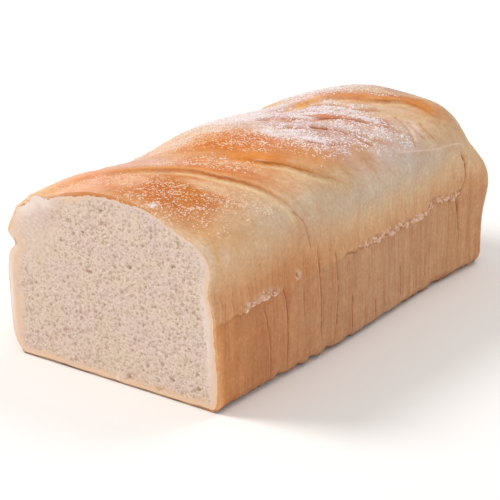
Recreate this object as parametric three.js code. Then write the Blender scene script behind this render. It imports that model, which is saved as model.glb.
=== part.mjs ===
// Tin loaf: a white sandwich loaf with one heel cut off, in millimetres, +Z up.
// The loaf lies along Y, and its cut face looks along -Y. The bread is one piece, so it is one solid.
//
// The skin is a grid. A station is the distance from the cut end, and a mark is the distance walked
// round the section from the crest of the dome: positive down the right side, negative down the left.
import * as THREE from 'three';

// Driving dimensions
const LOAF_WIDTH = 118;
const LOAF_LENGTH = 227;
const RIGHT_WALL_HEIGHT = 68;
const LEFT_WALL_HEIGHT = 60;
const CREST_OFFSET = 6;
const LEFT_WALL_LEAN = 2.5;
const FOOT_RADIUS = 6;
const CORNER_RADIUS = 10;
const CUT_LEAN = Math.tan(THREE.MathUtils.degToRad(5.3));
const HALF_WIDTH = LOAF_WIDTH / 2;

// Rear end: where the dome begins to fall, how low it ends, and how far the walls sink there
const DOME_FALLS_FROM = 175;
const DOME_FALL_POWER = 3.2;
const DOME_REAR_HEIGHT = 50;
const WALLS_SINK_FROM = 185;
const RIGHT_WALL_SINK = 23;
const LEFT_WALL_SINK = 10;
const REAR_SWELL = 1.6;

// Heights along the loaf, as [station, height] keys: the crest of the dome, and its left shoulder,
// which is measured above the left wall
const CREST_HEIGHT = [[0, 92], [20, 92], [45, 91], [60, 90.5], [90, 92], [130, 92], [160, 91], [227, 90]];
const LEFT_SHOULDER = [
  [0, 33], [20, 33], [40, 30], [56, 27], [70, 27], [86, 28],
  [105, 31.5], [118, 31], [140, 27], [157, 23.5], [180, 26], [227, 26],
];

// Broad lobes and hollows of the dome: mark, station, half width, half length, height
const LOBES = [
  { mark: 6, station: 22, width: 34, length: 16, height: 1.2 },
  { mark: 14, station: 62, width: 26, length: 13, height: 1.5 },
  { mark: 4, station: 104, width: 40, length: 22, height: 1.6 },
  { mark: 20, station: 150, width: 34, length: 26, height: 0.8 },
  { mark: -34, station: 0, width: 17, length: 14, height: -2.6 },
  { mark: 38, station: 0, width: 11, length: 24, height: -1.8 },
  { mark: 53, station: 220, width: 13, length: 14, height: -4.2 },
];

// Folds of the crust, as [mark, station] routes. Behind each route the dough stands proud by `rise`
// and falls away over `back`. In front of it a cleft of depth `cleft` runs out over `front`.
// `head` and `tail` are the shares of the route over which the fold comes and goes.
const FOLDS = [
  {
    route: [
      [-46, -5], [-31, 11], [-18, 21], [-4, 35], [8, 45],
      [20, 49], [34, 56], [51, 62], [66, 63], [84, 66],
    ],
    rise: 2.2, cleft: 1.6, riser: 3, back: 16, front: 9, head: 0.02, tail: 0.4,
  },
  {
    route: [
      [-58, 26], [-34, 37], [-4, 54], [7, 63], [15, 70],
      [24, 75], [31, 82], [43, 90], [54, 102], [62, 108],
    ],
    rise: 1.6, cleft: 0.9, riser: 3, back: 18, front: 7, head: 0.3, tail: 0.2,
  },
  {
    route: [
      [-62, 108], [-34, 118], [-12, 132], [-8, 145], [-6, 157], [0, 168], [8, 174],
      [17, 180], [23, 188], [32, 192], [41, 193], [50, 198],
    ],
    rise: 2.2, cleft: 0.9, riser: 3, back: 14, front: 8, head: 0.25, tail: 0.2,
  },
];

// Wrinkles of the rear dome, as [mark, station] routes
const WRINKLES = [
  [[-7, 117], [4, 125]],
  [[3, 146], [9, 154], [13, 159], [25, 165]],
  [[14, 131], [26, 148], [33, 155]],
  [[29, 132], [37, 133]],
  [[38, 171], [53, 163], [57, 162]],
  [[46, 181], [58, 181]],
];
const WRINKLE_DEPTH = 0.8;
const WRINKLE_WIDTH = 1.8;

// Upright creases of the side walls, as [station, height] routes
const RIGHT_CREASES = [
  { route: [[33, 41], [37, 20], [36, 3]], depth: 0.8 },
  { route: [[45, 46], [49, 21], [47, 3]], depth: 1.3 },
  { route: [[75.5, 57], [76, 30], [75, 9]], depth: 1.4 },
  { route: [[89, 51], [89, 27], [84.5, 3]], depth: 1.5 },
  { route: [[101.5, 24], [101.5, 6]], depth: 0.8 },
  { route: [[122.5, 14], [122.5, 3]], depth: 0.8 },
  { route: [[145, 24], [145, 8]], depth: 0.8 },
  { route: [[197, 66], [204, 57], [201, 48], [195, 43], [198, 33], [198, 20]], depth: 1.6 },
];
const LEFT_CREASES = [
  { route: [[28, 50], [31, 24], [29, 4]], depth: 1.0 },
  { route: [[70, 58], [68, 30], [69, 6]], depth: 1.4 },
  { route: [[112, 52], [115, 26], [113, 4]], depth: 1.2 },
  { route: [[158, 56], [156, 30], [158, 6]], depth: 1.4 },
  { route: [[196, 50], [199, 26], [197, 5]], depth: 1.1 },
];
const CREASE_WIDTH = 1.9;

// The torn seam where the dough rose over the rim of the tin: height along each side
const RIGHT_SEAM = [
  [0, 42.7], [40, 43.4], [95, 45], [140, 43.6], [178, 43.2],
  [186, 45.5], [197, 48], [212, 45], [227, 44],
];
const LEFT_SEAM = [[0, 56.3], [60, 54], [120, 55.5], [180, 53], [227, 48]];
const SEAM_LIP = 0.7;
const REAR_LIP = 1.9;
const SEAM_UNDERCUT = 0.6;
const LEFT_SEAM_DEPTH = 4.4;

// How far the right wall swells out, along the loaf
const RIGHT_SWELL = [
  [0, 0], [40, 0.2], [72, 1.2], [100, 1.2], [130, 0.2], [180, -1.6], [205, -0.6], [227, 0],
];

// Grid: divisions of each stretch of the ring, and spacing of the rings
const DIVISIONS = { dome: 16, wall: 10, foot: 2, base: 3 };
const RING_SPACING = 3.5;
const CORNER_RINGS = 4;
const CUT_MIDDLE_HEIGHT = 40;

// ---- Small helpers ----

function ease(from, to, value) {
  return THREE.MathUtils.smoothstep(value, from, to);
}

function bell(distance, width) {
  return Math.exp(-((distance / width) ** 2));
}

// Smooth curve through [place, value] keys
function keyed(place, keys) {
  const last = keys.length - 2;
  let index = keys.findIndex(([at]) => at >= place) - 1;
  index = place > keys[keys.length - 1][0] ? last : THREE.MathUtils.clamp(index, 0, last);
  const [x1, y1] = keys[index];
  const [x2, y2] = keys[index + 1];
  const [x0, y0] = keys[Math.max(index - 1, 0)];
  const [x3, y3] = keys[Math.min(index + 2, keys.length - 1)];
  const width = x2 - x1;
  const t = THREE.MathUtils.clamp((place - x1) / width, 0, 1);
  const slope1 = index > 0 ? (y2 - y0) / (x2 - x0) : 0;
  const slope2 = index < last ? (y3 - y1) / (x3 - x1) : 0;
  return (2 * t ** 3 - 3 * t ** 2 + 1) * y1 + (t ** 3 - 2 * t ** 2 + t) * width * slope1
    + (3 * t ** 2 - 2 * t ** 3) * y2 + (t ** 3 - t ** 2) * width * slope2;
}

// A route is a smooth line through its points, kept as short straight steps
function makeRoute(points) {
  const curve = new THREE.SplineCurve(points.map(([a, b]) => new THREE.Vector2(a, b)));
  const dots = curve.getPoints(8 * (points.length - 1));
  const steps = [];
  let walked = 0;
  for (let i = 1; i < dots.length; i += 1) {
    const along = dots[i].clone().sub(dots[i - 1]);
    const length = along.length();
    steps.push({ from: dots[i - 1], along: along.divideScalar(length), length, walked });
    walked += length;
  }
  return { steps, length: walked };
}

// Signed distance from a route, positive on its left, and the share of the route walked there
function nearest(route, a, b) {
  let best = { distance: Infinity, side: 1, share: 0 };
  for (const { from, along, length, walked } of route.steps) {
    const da = a - from.x;
    const db = b - from.y;
    const t = THREE.MathUtils.clamp(da * along.x + db * along.y, 0, length);
    const distance = Math.hypot(da - t * along.x, db - t * along.y);
    if (distance < best.distance) {
      const side = along.x * db - along.y * da >= 0 ? 1 : -1;
      best = { distance, side, share: (walked + t) / route.length };
    }
  }
  return { offset: best.side * best.distance, share: best.share };
}

function endFade(share, head, tail) {
  return ease(0, head, share) * (1 - ease(1 - tail, 1, share));
}

// ---- Section of the loaf ----

// A quarter ellipse as a table of angle against the distance walked from its top
function arcTable(halfWidth, height) {
  const samples = 128;
  const table = [];
  let walked = 0;
  for (let i = 0; i <= samples; i += 1) {
    const angle = (Math.PI / 2) * (1 - i / samples);
    const point = new THREE.Vector2(halfWidth * Math.cos(angle), height * Math.sin(angle));
    walked += i === 0 ? 0 : point.distanceTo(table[i - 1].point);
    table.push({ angle, point, walked });
  }
  return table;
}

function makeSide(sign, wallHeight, wallLean, wallSink, domeHeight) {
  const arc = arcTable(HALF_WIDTH - wallLean - sign * CREST_OFFSET, domeHeight);
  const dome = arc[arc.length - 1].walked;
  const wall = wallHeight - FOOT_RADIUS;
  const foot = FOOT_RADIUS * Math.PI / 2;
  const base = HALF_WIDTH - FOOT_RADIUS;
  return { sign, wallHeight, wallLean, wallSink, arc, dome, wall, foot, base };
}

const RIGHT = makeSide(1, RIGHT_WALL_HEIGHT, 0, RIGHT_WALL_SINK, 28);
const LEFT = makeSide(-1, LEFT_WALL_HEIGHT, LEFT_WALL_LEAN, LEFT_WALL_SINK, 33);

function arcAngle(arc, walked) {
  const index = THREE.MathUtils.clamp(arc.findIndex((row) => row.walked >= walked), 1, arc.length - 1);
  const before = arc[index - 1];
  const after = arc[index];
  const t = (walked - before.walked) / (after.walked - before.walked);
  return THREE.MathUtils.lerp(before.angle, after.angle, THREE.MathUtils.clamp(t, 0, 1));
}

// Point and outward normal of the plain section, before its relief. `inset` narrows the loaf
// round its rear corners.
function plainSection(mark, station, inset) {
  const side = mark >= 0 ? RIGHT : LEFT;
  const walked = Math.abs(mark);
  const fall = THREE.MathUtils.clamp(
    (station - DOME_FALLS_FROM) / (LOAF_LENGTH + 1.5 - DOME_FALLS_FROM), 0, 1);
  const settle = (1 - fall ** DOME_FALL_POWER) ** (1 / DOME_FALL_POWER);
  const sink = THREE.MathUtils.clamp(
    (station - WALLS_SINK_FROM) / (LOAF_LENGTH - WALLS_SINK_FROM), 0, 1) ** 2;
  const crest = DOME_REAR_HEIGHT + (keyed(station, CREST_HEIGHT) - DOME_REAR_HEIGHT) * settle;
  const wallTop = side.wallHeight - side.wallSink * sink;
  const crestX = CREST_OFFSET * (1 - inset / HALF_WIDTH);
  const reach = HALF_WIDTH - inset - side.wallLean - side.sign * crestX;

  if (walked <= side.dome) {
    const angle = arcAngle(side.arc, walked);
    const out = Math.cos(angle);
    let rise = crest - wallTop;
    if (side === LEFT) {
      rise += (keyed(station, LEFT_SHOULDER) * settle - rise) * ease(0.1, 0.75, out);
    }
    const normal = new THREE.Vector2(out / reach, Math.sin(angle) / Math.max(rise, 1)).normalize();
    return {
      x: crestX + side.sign * reach * out,
      z: wallTop + rise * Math.sin(angle),
      nx: side.sign * normal.x,
      nz: normal.y,
    };
  }
  if (walked <= side.dome + side.wall) {
    const down = (walked - side.dome) / side.wall;
    const lean = side.wallLean * (1 - (1 - down) ** 2);
    return {
      x: crestX + side.sign * (reach + lean),
      z: wallTop - down * (wallTop - FOOT_RADIUS),
      nx: side.sign,
      nz: 0,
    };
  }
  const foot = reach + side.wallLean - FOOT_RADIUS;
  if (walked <= side.dome + side.wall + side.foot) {
    const turn = (walked - side.dome - side.wall) / FOOT_RADIUS;
    return {
      x: crestX + side.sign * (foot + FOOT_RADIUS * Math.cos(turn)),
      z: FOOT_RADIUS * (1 - Math.sin(turn)),
      nx: side.sign * Math.cos(turn),
      nz: -Math.sin(turn),
    };
  }
  const inward = (walked - side.dome - side.wall - side.foot) / side.base;
  return {
    x: crestX + side.sign * (foot - (foot + side.sign * crestX) * inward),
    z: 0,
    nx: 0,
    nz: -1,
  };
}

// ---- Relief of the crust ----

for (const item of [...FOLDS, ...RIGHT_CREASES, ...LEFT_CREASES]) {
  item.line = makeRoute(item.route);
}
const WRINKLE_LINES = WRINKLES.map(makeRoute);

function lobeRelief(mark, station) {
  let height = 0;
  for (const lobe of LOBES) {
    const across = (mark - lobe.mark) / lobe.width;
    const along = (station - lobe.station) / lobe.length;
    height += lobe.height * Math.exp(-(across ** 2) - along ** 2);
  }
  return height;
}

function foldRelief(fold, mark, station) {
  const { offset, share } = nearest(fold.line, mark, station);
  const behind = fold.rise * bell(Math.max(offset, 0), fold.back);
  const before = -fold.cleft * bell(Math.min(offset, 0), fold.front);
  const step = 0.5 + 0.5 * Math.tanh(1.6 * offset / fold.riser);
  return (before + (behind - before) * step) * endFade(share, fold.head, fold.tail);
}

function creaseRelief(line, a, b, depth, width) {
  const { offset, share } = nearest(line, a, b);
  return -depth * bell(offset, width) * endFade(share, 0.1, 0.15);
}

// The seam from its height: a lip above it and an undercut below
function seamRelief(offset) {
  const lip = SEAM_LIP * bell(Math.max(offset - 1.5, 0), 6);
  const undercut = -SEAM_UNDERCUT * bell(Math.min(offset, 0), 7);
  return undercut + (lip - undercut) * (0.5 + 0.5 * Math.tanh(offset / 0.9));
}

// The dough overhangs the rim at the rear end, over a slightly drawn in wall
function overhangRelief(height) {
  return REAR_LIP * bell(height - 42, 10) - 0.8 * bell(height - 20, 9);
}

function rightWallRelief(station, height) {
  let out = 0;
  for (const crease of RIGHT_CREASES) {
    out += creaseRelief(crease.line, station, height, crease.depth, CREASE_WIDTH);
  }
  out += keyed(station, RIGHT_SWELL) * (1 - ease(30, 58, height)) * ease(0, 2, height);

  // The seam is open near both ends of this side, and the dough overhangs it at the rear corner
  const offset = height - keyed(station, RIGHT_SEAM);
  const open = 1 - ease(44, 58, station) * (1 - ease(92, 108, station));
  out += seamRelief(offset) * open;
  out += overhangRelief(height) * ease(196, 222, station);

  // The wall is drawn in a little above the seam, next to the cut
  out -= 1.8 * (1 - ease(0, 40, station)) * bell(height - 57, 7);
  return out;
}

function leftWallRelief(station, height) {
  let out = 0;
  for (const crease of LEFT_CREASES) {
    out += creaseRelief(crease.line, station, height, crease.depth, CREASE_WIDTH);
  }
  const offset = height - keyed(station, LEFT_SEAM);
  const nearCut = 1 - ease(0, 40, station);
  const depth = LEFT_SEAM_DEPTH - 1.8 * ease(0, 30, station);
  out -= depth * bell(offset, 3.2);
  out -= 1.4 * nearCut * bell(offset - 12, 6);
  out -= 1.2 * bell(offset + 5, 6);
  return out;
}

function relief(mark, station, height) {
  let out = lobeRelief(mark, station);
  for (const fold of FOLDS) {
    out += foldRelief(fold, mark, station);
  }
  for (const line of WRINKLE_LINES) {
    out += creaseRelief(line, mark, station, WRINKLE_DEPTH, WRINKLE_WIDTH);
  }
  if (height > 0.5 && mark > 0.86 * RIGHT.dome) {
    out += rightWallRelief(station, height);
  }
  if (height > 0.5 && mark < -0.8 * LEFT.dome) {
    out += leftWallRelief(station, height);
  }
  return out;
}

function rearRelief(across, height) {
  const leftEnd = LEFT_SEAM[LEFT_SEAM.length - 1][1];
  const rightEnd = RIGHT_SEAM[RIGHT_SEAM.length - 1][1];
  const seam = THREE.MathUtils.lerp(leftEnd, rightEnd, across);
  const swell = REAR_SWELL * ease(0, 14, height);
  return (seamRelief(height - seam) + overhangRelief(height) + swell) * (1 - ease(50, 68, height));
}

// ---- Skin ----

// Marks down one side, from the crest to the middle of the base
function sideMarks(side) {
  const stretches = [
    [side.dome, DIVISIONS.dome], [side.wall, DIVISIONS.wall],
    [side.foot, DIVISIONS.foot], [side.base, DIVISIONS.base],
  ];
  const marks = [0];
  for (const [length, divisions] of stretches) {
    const from = marks[marks.length - 1];
    for (let i = 1; i <= divisions; i += 1) {
      marks.push(side.sign * (Math.abs(from) + length * i / divisions));
    }
  }
  return marks;
}

// Marks round the ring: the middle of the base, up the left side, over the crest, down the right
function ringMarks() {
  return [...sideMarks(LEFT).slice(1).reverse(), ...sideMarks(RIGHT).slice(0, -1)];
}

function skinPoint(mark, station, inset, turn) {
  const { x, z, nx, nz } = plainSection(mark, station, inset);
  const out = z > 0 ? relief(mark, station, z) : 0;
  const y = station - CUT_LEAN * z * (1 - station / LOAF_LENGTH);
  return new THREE.Vector3(
    x + nx * out * Math.cos(turn),
    y + out * Math.sin(turn),
    z + nz * out * Math.cos(turn),
  );
}

function makeRings(marks) {
  const rings = [];
  const straight = LOAF_LENGTH - CORNER_RADIUS;
  const straightRings = Math.round(straight / RING_SPACING);
  for (let i = 0; i <= straightRings; i += 1) {
    const station = straight * i / straightRings;
    rings.push(marks.map((mark) => skinPoint(mark, station, 0, 0)));
  }
  for (let i = 1; i <= CORNER_RINGS; i += 1) {
    const turn = (Math.PI / 2) * i / CORNER_RINGS;
    const station = straight + CORNER_RADIUS * Math.sin(turn);
    const inset = CORNER_RADIUS * (1 - Math.cos(turn));
    rings.push(marks.map((mark) => skinPoint(mark, station, inset, turn)));
  }
  return rings;
}

// A point of the rear face, a share of the way across between the two edges
function rearPoint(left, right, across) {
  const point = new THREE.Vector3().lerpVectors(left, right, across);
  const nearLeft = (1 - across) ** 4;
  const nearRight = across ** 4;
  const edge = nearLeft * (left.y - LOAF_LENGTH) + nearRight * (right.y - LOAF_LENGTH);
  point.y = LOAF_LENGTH + edge + (1 - nearLeft - nearRight) * rearRelief(across, point.z);
  return point;
}

function makeSkin() {
  const marks = ringMarks();
  const rings = makeRings(marks);
  const round = marks.length;
  const points = rings.flat();
  const faces = [];
  const addQuad = (a, b, c, d) => faces.push(a, b, d, b, c, d);

  for (let i = 0; i < rings.length - 1; i += 1) {
    for (let j = 0; j < round; j += 1) {
      const a = i * round + j;
      const b = i * round + (j + 1) % round;
      addQuad(a, b, b + round, a + round);
    }
  }

  // The cut face is flat, and closes on its middle
  const middle = points.push(new THREE.Vector3(0, -CUT_LEAN * CUT_MIDDLE_HEIGHT, CUT_MIDDLE_HEIGHT)) - 1;
  for (let j = 0; j < round; j += 1) {
    faces.push(middle, (j + 1) % round, j);
  }

  // The rear face is a grid of rows between the last ring's left and right sides. Its top row is the
  // crest, and its bottom row is the rear edge of the base.
  const lastRing = (rings.length - 1) * round;
  const crest = DIVISIONS.dome + DIVISIONS.wall + DIVISIONS.foot + DIVISIONS.base - 1;
  const columns = 2 * DIVISIONS.base;
  const rowCount = DIVISIONS.dome + DIVISIONS.wall + DIVISIONS.foot;
  const rows = [new Array(columns + 1).fill(lastRing + crest)];
  for (let row = 1; row <= rowCount; row += 1) {
    const left = lastRing + crest - row;
    const right = lastRing + crest + row;
    const line = [left];
    for (let column = 1; column < columns; column += 1) {
      if (row < rowCount) {
        line.push(points.push(rearPoint(points[left], points[right], column / columns)) - 1);
      } else {
        line.push(lastRing + (left - lastRing - column + round) % round);
      }
    }
    line.push(right);
    rows.push(line);
  }
  for (let row = 0; row < rowCount; row += 1) {
    for (let column = 0; column < columns; column += 1) {
      const [a, b] = [rows[row][column], rows[row][column + 1]];
      const [d, c] = [rows[row + 1][column], rows[row + 1][column + 1]];
      if (row > 0) {
        faces.push(a, b, c);
      }
      faces.push(a, c, d);
    }
  }

  const geometry = new THREE.BufferGeometry().setFromPoints(points);
  geometry.setIndex(faces);
  return geometry;
}

// ---- The part ----

const group = new THREE.Group();
const skin = makeSkin();

// The origin is the middle of the base
skin.computeBoundingBox();
const middle = skin.boundingBox.getCenter(new THREE.Vector3());
skin.translate(-middle.x, -middle.y, -skin.boundingBox.min.z);
skin.computeVertexNormals();

const bread = new THREE.MeshStandardMaterial({ color: 0xd9a76c, roughness: 0.85, metalness: 0 });
const loaf = new THREE.Mesh(skin, bread);
loaf.name = 'loaf';
group.add(loaf);

export default group;
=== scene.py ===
"""A tin loaf with one heel cut off: its crust, its crumb and the flour on it, in a plain pale studio.

The loaf lies along Y, and its cut face looks along -Y. Its form is worked out here in millimetres,
from the sizes that its solid has, and then placed in metres where the frame's loaf is.
A station is the distance from the cut end. A mark is the distance walked round the section from the
crest of the dome: positive down the right side, negative down the left.
"""
import math

import bpy
import numpy as np
from mathutils import Matrix, Vector
from mathutils.geometry import delaunay_2d_cdt


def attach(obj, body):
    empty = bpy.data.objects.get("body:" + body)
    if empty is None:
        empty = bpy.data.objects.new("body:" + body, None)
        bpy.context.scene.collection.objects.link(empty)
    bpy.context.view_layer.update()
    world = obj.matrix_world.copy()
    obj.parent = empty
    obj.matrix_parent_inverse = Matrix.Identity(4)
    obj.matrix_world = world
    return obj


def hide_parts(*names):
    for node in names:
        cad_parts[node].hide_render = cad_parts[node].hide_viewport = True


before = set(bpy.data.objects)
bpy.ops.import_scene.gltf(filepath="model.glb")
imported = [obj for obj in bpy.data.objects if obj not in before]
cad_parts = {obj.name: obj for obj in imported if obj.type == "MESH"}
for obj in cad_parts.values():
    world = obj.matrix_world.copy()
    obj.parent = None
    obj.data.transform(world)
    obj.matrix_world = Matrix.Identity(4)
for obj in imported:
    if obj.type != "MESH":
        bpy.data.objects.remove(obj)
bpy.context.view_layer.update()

MM = 0.001

# ---- Sizes of the loaf, in millimetres; where two are given, for the right (1) and the left (-1) ----
WIDTH = 118.0
LENGTH = 227.0
HALF = WIDTH / 2
WALL_HEIGHT = {1: 68.0, -1: 60.0}
WALL_SINK = {1: 23.0, -1: 10.0}
WALL_LEAN = {1: 0.0, -1: 2.5}
DOME_HEIGHT = {1: 28.0, -1: 33.0}
CREST_OFFSET = 6.0
FOOT_RADIUS = 6.0
CORNER_RADIUS = 10.0
CUT_LEAN = math.tan(math.radians(5.3))
DOME_FALLS_FROM = 175.0
DOME_FALLS_TO = LENGTH + 1.5
DOME_FALL_POWER = 3.2
DOME_REAR_HEIGHT = 50.0
WALLS_SINK_FROM = 185.0
REAR_SWELL = 1.6

# Middle of the base, measured from the cut's lower edge and the midline of the tin
BASE_MIDDLE = np.array([0.874, 110.740, 0.0])

# Heights along the loaf, as (station, height) keys
CREST_HEIGHT = [(0, 92), (20, 92), (45, 91), (60, 90.5), (90, 92), (130, 92), (160, 91), (227, 90)]
LEFT_SHOULDER = [
    (0, 33), (20, 33), (40, 30), (56, 27), (70, 27), (86, 28),
    (105, 31.5), (118, 31), (140, 27), (157, 23.5), (180, 26), (227, 26),
]

# Broad lobes and hollows of the dome: mark, station, half width, half length, height
LOBES = [
    (6, 22, 34, 16, 1.2), (14, 62, 26, 13, 1.5), (4, 104, 40, 22, 1.6), (20, 150, 34, 26, 0.8),
    (-34, 0, 17, 14, -2.6), (38, 0, 11, 24, -1.8), (52, 221, 12, 12, -3.9), (36, 206, 15, 13, 2.5),
]

# Folds of the crust along (mark, station) routes: the dough behind a fold stands proud of a cleft.
# `burnt` and `crest` say how dark the line of the cleft and how pale the line on its rim are, by mark,
# and `rim` and `baked` how pale the rim is and how browned the band of half width `band` behind it.
FRONT_FOLD = dict(
    route=[(-46, -5), (-31, 11), (-18, 21), (-4, 35), (8, 45), (20, 49), (34, 56), (51, 62), (66, 63),
           (84, 66)],
    rise=1.4, cleft=0.4, riser=0.7, soft=-60, back=16, front=9, head=0.02, tail=0.4,
    burnt=[(-46, 0), (-20, 0.15), (-8, 0.25), (0, 0.35), (8, 0.5), (17, 0.9), (30, 0.7), (42, 0.35),
           (64, 0.2), (76, 0)],
    crest=[(-40, 0), (0, 0), (12, 0.3), (24, 0.3), (34, 0)],
    rim=[(-20, 0), (0, 0.5), (12, 1), (40, 1), (62, 0.5), (76, 0)],
    baked=[(-46, 0.3), (-18, 0.6), (-4, 0.8), (8, 0.8), (20, 0.6), (36, 0.2), (46, 0)],
    tone="#EA9B45", band=1.4)
MIDDLE_FOLD = dict(
    route=[(-58, 26), (-34, 37), (-4, 54), (7, 63), (15, 70), (24, 75), (31, 82), (43, 90), (54, 102),
           (62, 108)],
    rise=1.2, cleft=0.4, riser=0.8, soft=14, back=18, front=7, head=0.3, tail=0.2,
    burnt=[(12, 0), (21, 0.2), (25, 1), (27, 0.7), (31, 0.75), (42, 0.6), (44, 0.2), (50, 0.4), (57, 0)],
    crest=[(-34, 0), (20, 0), (23, 0.5), (26, 0)],
    rim=[(20, 0), (28, 0.6), (46, 0.7), (58, 0)],
    baked=[(12, 0), (24, 0.4), (40, 0.4), (52, 0)],
    tone="#C4702E", band=1.5)
REAR_FOLD = dict(
    route=[(-62, 108), (-34, 118), (-12, 132), (-8, 145), (-6, 157), (0, 168), (8, 174),
           (17, 180), (23, 188), (32, 192), (41, 193), (50, 198)],
    rise=1.5, cleft=0.3, riser=0.9, soft=-12, back=14, front=8, head=0.3, tail=0.2,
    burnt=[(-13, 0), (6, 0.05), (14, 0.3), (18, 0.65), (22, 0.3), (38, 0.5), (46, 0)],
    crest=[(-40, 0.2), (-12, 0), (50, 0)],
    rim=[(-12, 0), (-6, 0.4), (4, 0.55), (12, 0.3), (20, 0.6), (32, 0.5), (44, 0)],
    baked=[(-12, 0), (-9, 0.3), (-3, 0.7), (8, 1), (24, 0.85), (32, 0.5), (40, 0.1), (44, 0)],
    tone="#DB8630", band=2.7)
FOLDS = (FRONT_FOLD, MIDDLE_FOLD, REAR_FOLD)

# Wrinkles of the rear dome: (mark, station) route, depth and how dark its line is
WRINKLES = [
    ([(-8, 114), (-6, 118), (-2, 123), (2, 127), (7, 129)], 1.1, 1.0),
    ([(-5, 147), (-1, 154), (4, 159), (11, 160), (17, 163), (22, 169), (27, 171)], 0.7, 0.8),
    ([(10, 135), (15, 141), (20, 147), (26, 151), (32, 154)], 1.0, 1.0),
    ([(15, 124), (19, 127), (23, 131)], 1.0, 1.0), ([(22, 130), (26, 133), (31, 134)], 0.6, 0.7),
    ([(32, 135), (38, 136), (44, 139)], 0.5, 0.6), ([(8, 114), (15, 121)], 0.4, 0.45),
    ([(30, 172), (38, 171), (45, 168), (50, 165), (54, 162)], 0.7, 0.35),
    ([(37, 174), (46, 173), (53, 174)], 0.7, 0.3), ([(40, 181), (49, 179), (58, 181)], 0.6, 0.35),
    ([(24, 108), (32, 116), (36, 126)], 0.4, 0.35), ([(-2, 134), (4, 143), (8, 148)], 0.5, 0.3),
    ([(-40, 150), (-26, 163), (-20, 178)], 0.6, 0.35),
    ([(-44, 88), (-26, 98)], 0.5, 0.3), ([(53, 61), (66, 68), (80, 72)], 0.6, 0.4),
]
WRINKLE_WIDTH = 1.2
CRINKLE_HEIGHT = 0.4
# The low ridge on the rear right shoulder, where the dough of the dome ends: (mark, station)
REAR_RIDGE = [(52, 146), (56, 162), (60, 179), (61, 204)]
RIDGE_HEIGHT = 0.7

# Upright creases of the tin walls, as (station, height) routes and depths; of the rear, as (x, height)
RIGHT_CREASES = [
    ([(35.5, 41), (38.5, 20), (37.5, 2)], 0.6), ([(47, 46), (51, 40), (51.5, 21), (49.5, 2)], 0.9),
    ([(76.8, 57), (77, 30), (76, 9)], 1.2), ([(90.2, 51), (90.2, 27), (86, 2)], 1.3),
    ([(101.5, 24), (101.5, 4)], 0.7), ([(122.5, 14), (122.5, 2)], 0.7), ([(145, 24), (146, 6)], 0.7),
    ([(64, 40), (63.5, 24)], 0.4), ([(169, 22), (168.5, 9)], 0.4),
    ([(197, 66.5), (201.5, 60), (202.5, 51), (197, 43.5), (197.5, 38), (199, 28), (200, 18)], 1.5),
]
LEFT_CREASES = [
    ([(28, 50), (31, 24), (29, 2)], 0.7), ([(39.5, 30), (38, 3)], 0.5), ([(72, 56), (68, 30), (69, 2)], 1.2),
    ([(96, 34), (97, 5)], 0.5), ([(112, 52), (115, 26), (113, 2)], 0.9), ([(120.5, 47), (122, 12)], 1.1),
    ([(150, 20), (151, 3)], 0.6), ([(163, 51), (160, 30), (162, 3)], 1.0),
    ([(205, 46), (208, 22), (206, 4)], 0.9),
]
REAR_CREASES = [
    ([(-38, 44), (-36, 22), (-37, 2)], 0.9), ([(-14, 30), (-13, 3)], 0.6), ([(9, 46), (12, 20),
    (11, 2)], 0.8),
    ([(34, 40), (33, 14)], 0.6),
]
CREASE_WIDTH = 1.0

# The torn seam where the dough rose over the rim of the tin, as (station, height) keys
RIGHT_SEAM = [
    (0, 42.7), (40, 43.4), (95, 45), (127, 43.2), (145, 42.2), (163, 42), (168, 43), (171.5, 46), (176, 46.3),
    (183, 45), (195, 43.2), (205, 43), (227, 44),
]
LEFT_SEAM = [(0, 56.3), (60, 54), (120, 55.5), (180, 53), (227, 48)]
RIGHT_SWELL = [(0, 0), (40, 0.2), (72, 1.2), (100, 1.2), (130, 0.2), (180, -1.6), (205, -0.6), (227, 0)]
SEAM_LIP = 0.8
SEAM_UNDERCUT = 0.7
SEAM_RAGGEDNESS = 0.8
LEFT_SEAM_DEPTH = 4.4
# The dough that hangs over the tin at the rear: how far, at what height, and half its thickness
OVERHANG, OVERHANG_HEIGHT, OVERHANG_THICK = 3.0, 46, 15
# The hollow of the right shoulder beside the cut: depth, length, height, half width
SHOULDER_HOLLOW = (1.8, 40, 57, 7)
# The small pit in the right wall: station, height, depth, radius
PIT = (60, 47, 1.6, 1.1)

# How much pale torn dough shows along the seam, and how dark the shadow line under it is
RIGHT_TORN = [
    (0, 0), (17, 0), (20, 0.6), (30, 0.9), (44, 1), (46, 0), (106, 0), (113, 0.5), (122, 1), (172, 1),
    (176, 0.6), (182, 0.7), (195, 1), (198, 0.5), (200, 0), (227, 0),
]
LEFT_TORN = [
    (0, 0.2), (28, 0), (42, 0.8), (74, 0.9), (84, 0), (118, 0.1), (134, 0.9), (186, 1), (202, 0.3),
    (227, 0.2),
]
REAR_TORN = [(-60, 0.2), (-42, 0.7), (-20, 0.9), (-8, 0.1), (14, 0.2), (24, 0.9), (46, 0.8), (60, 0.2)]
SEAM_SHADOW = [
    (0, 0.2), (18, 0.7), (46, 0.5), (52, 0), (94, 0), (100, 1), (114, 1), (130, 0.6), (196, 0.8),
    (201, 0), (227, 0),
]

# Hollows of the bottom edge, where the dough didn't fill the corner of the tin: station, half length, depth
BOTTOM_HOLLOWS = [
    (10, 3, 0.7), (24, 4, 0.6), (45, 4, 1.4), (59.5, 3, 1.2), (70, 4, 1.5), (82, 5, 1.7), (99, 4, 1.0),
    (114, 3, 0.5), (131, 5, 0.6), (150, 4, 0.5), (166, 3, 0.6), (180, 6, 1.3), (203, 5, 0.6), (216, 3, 0.5),
]

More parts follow.
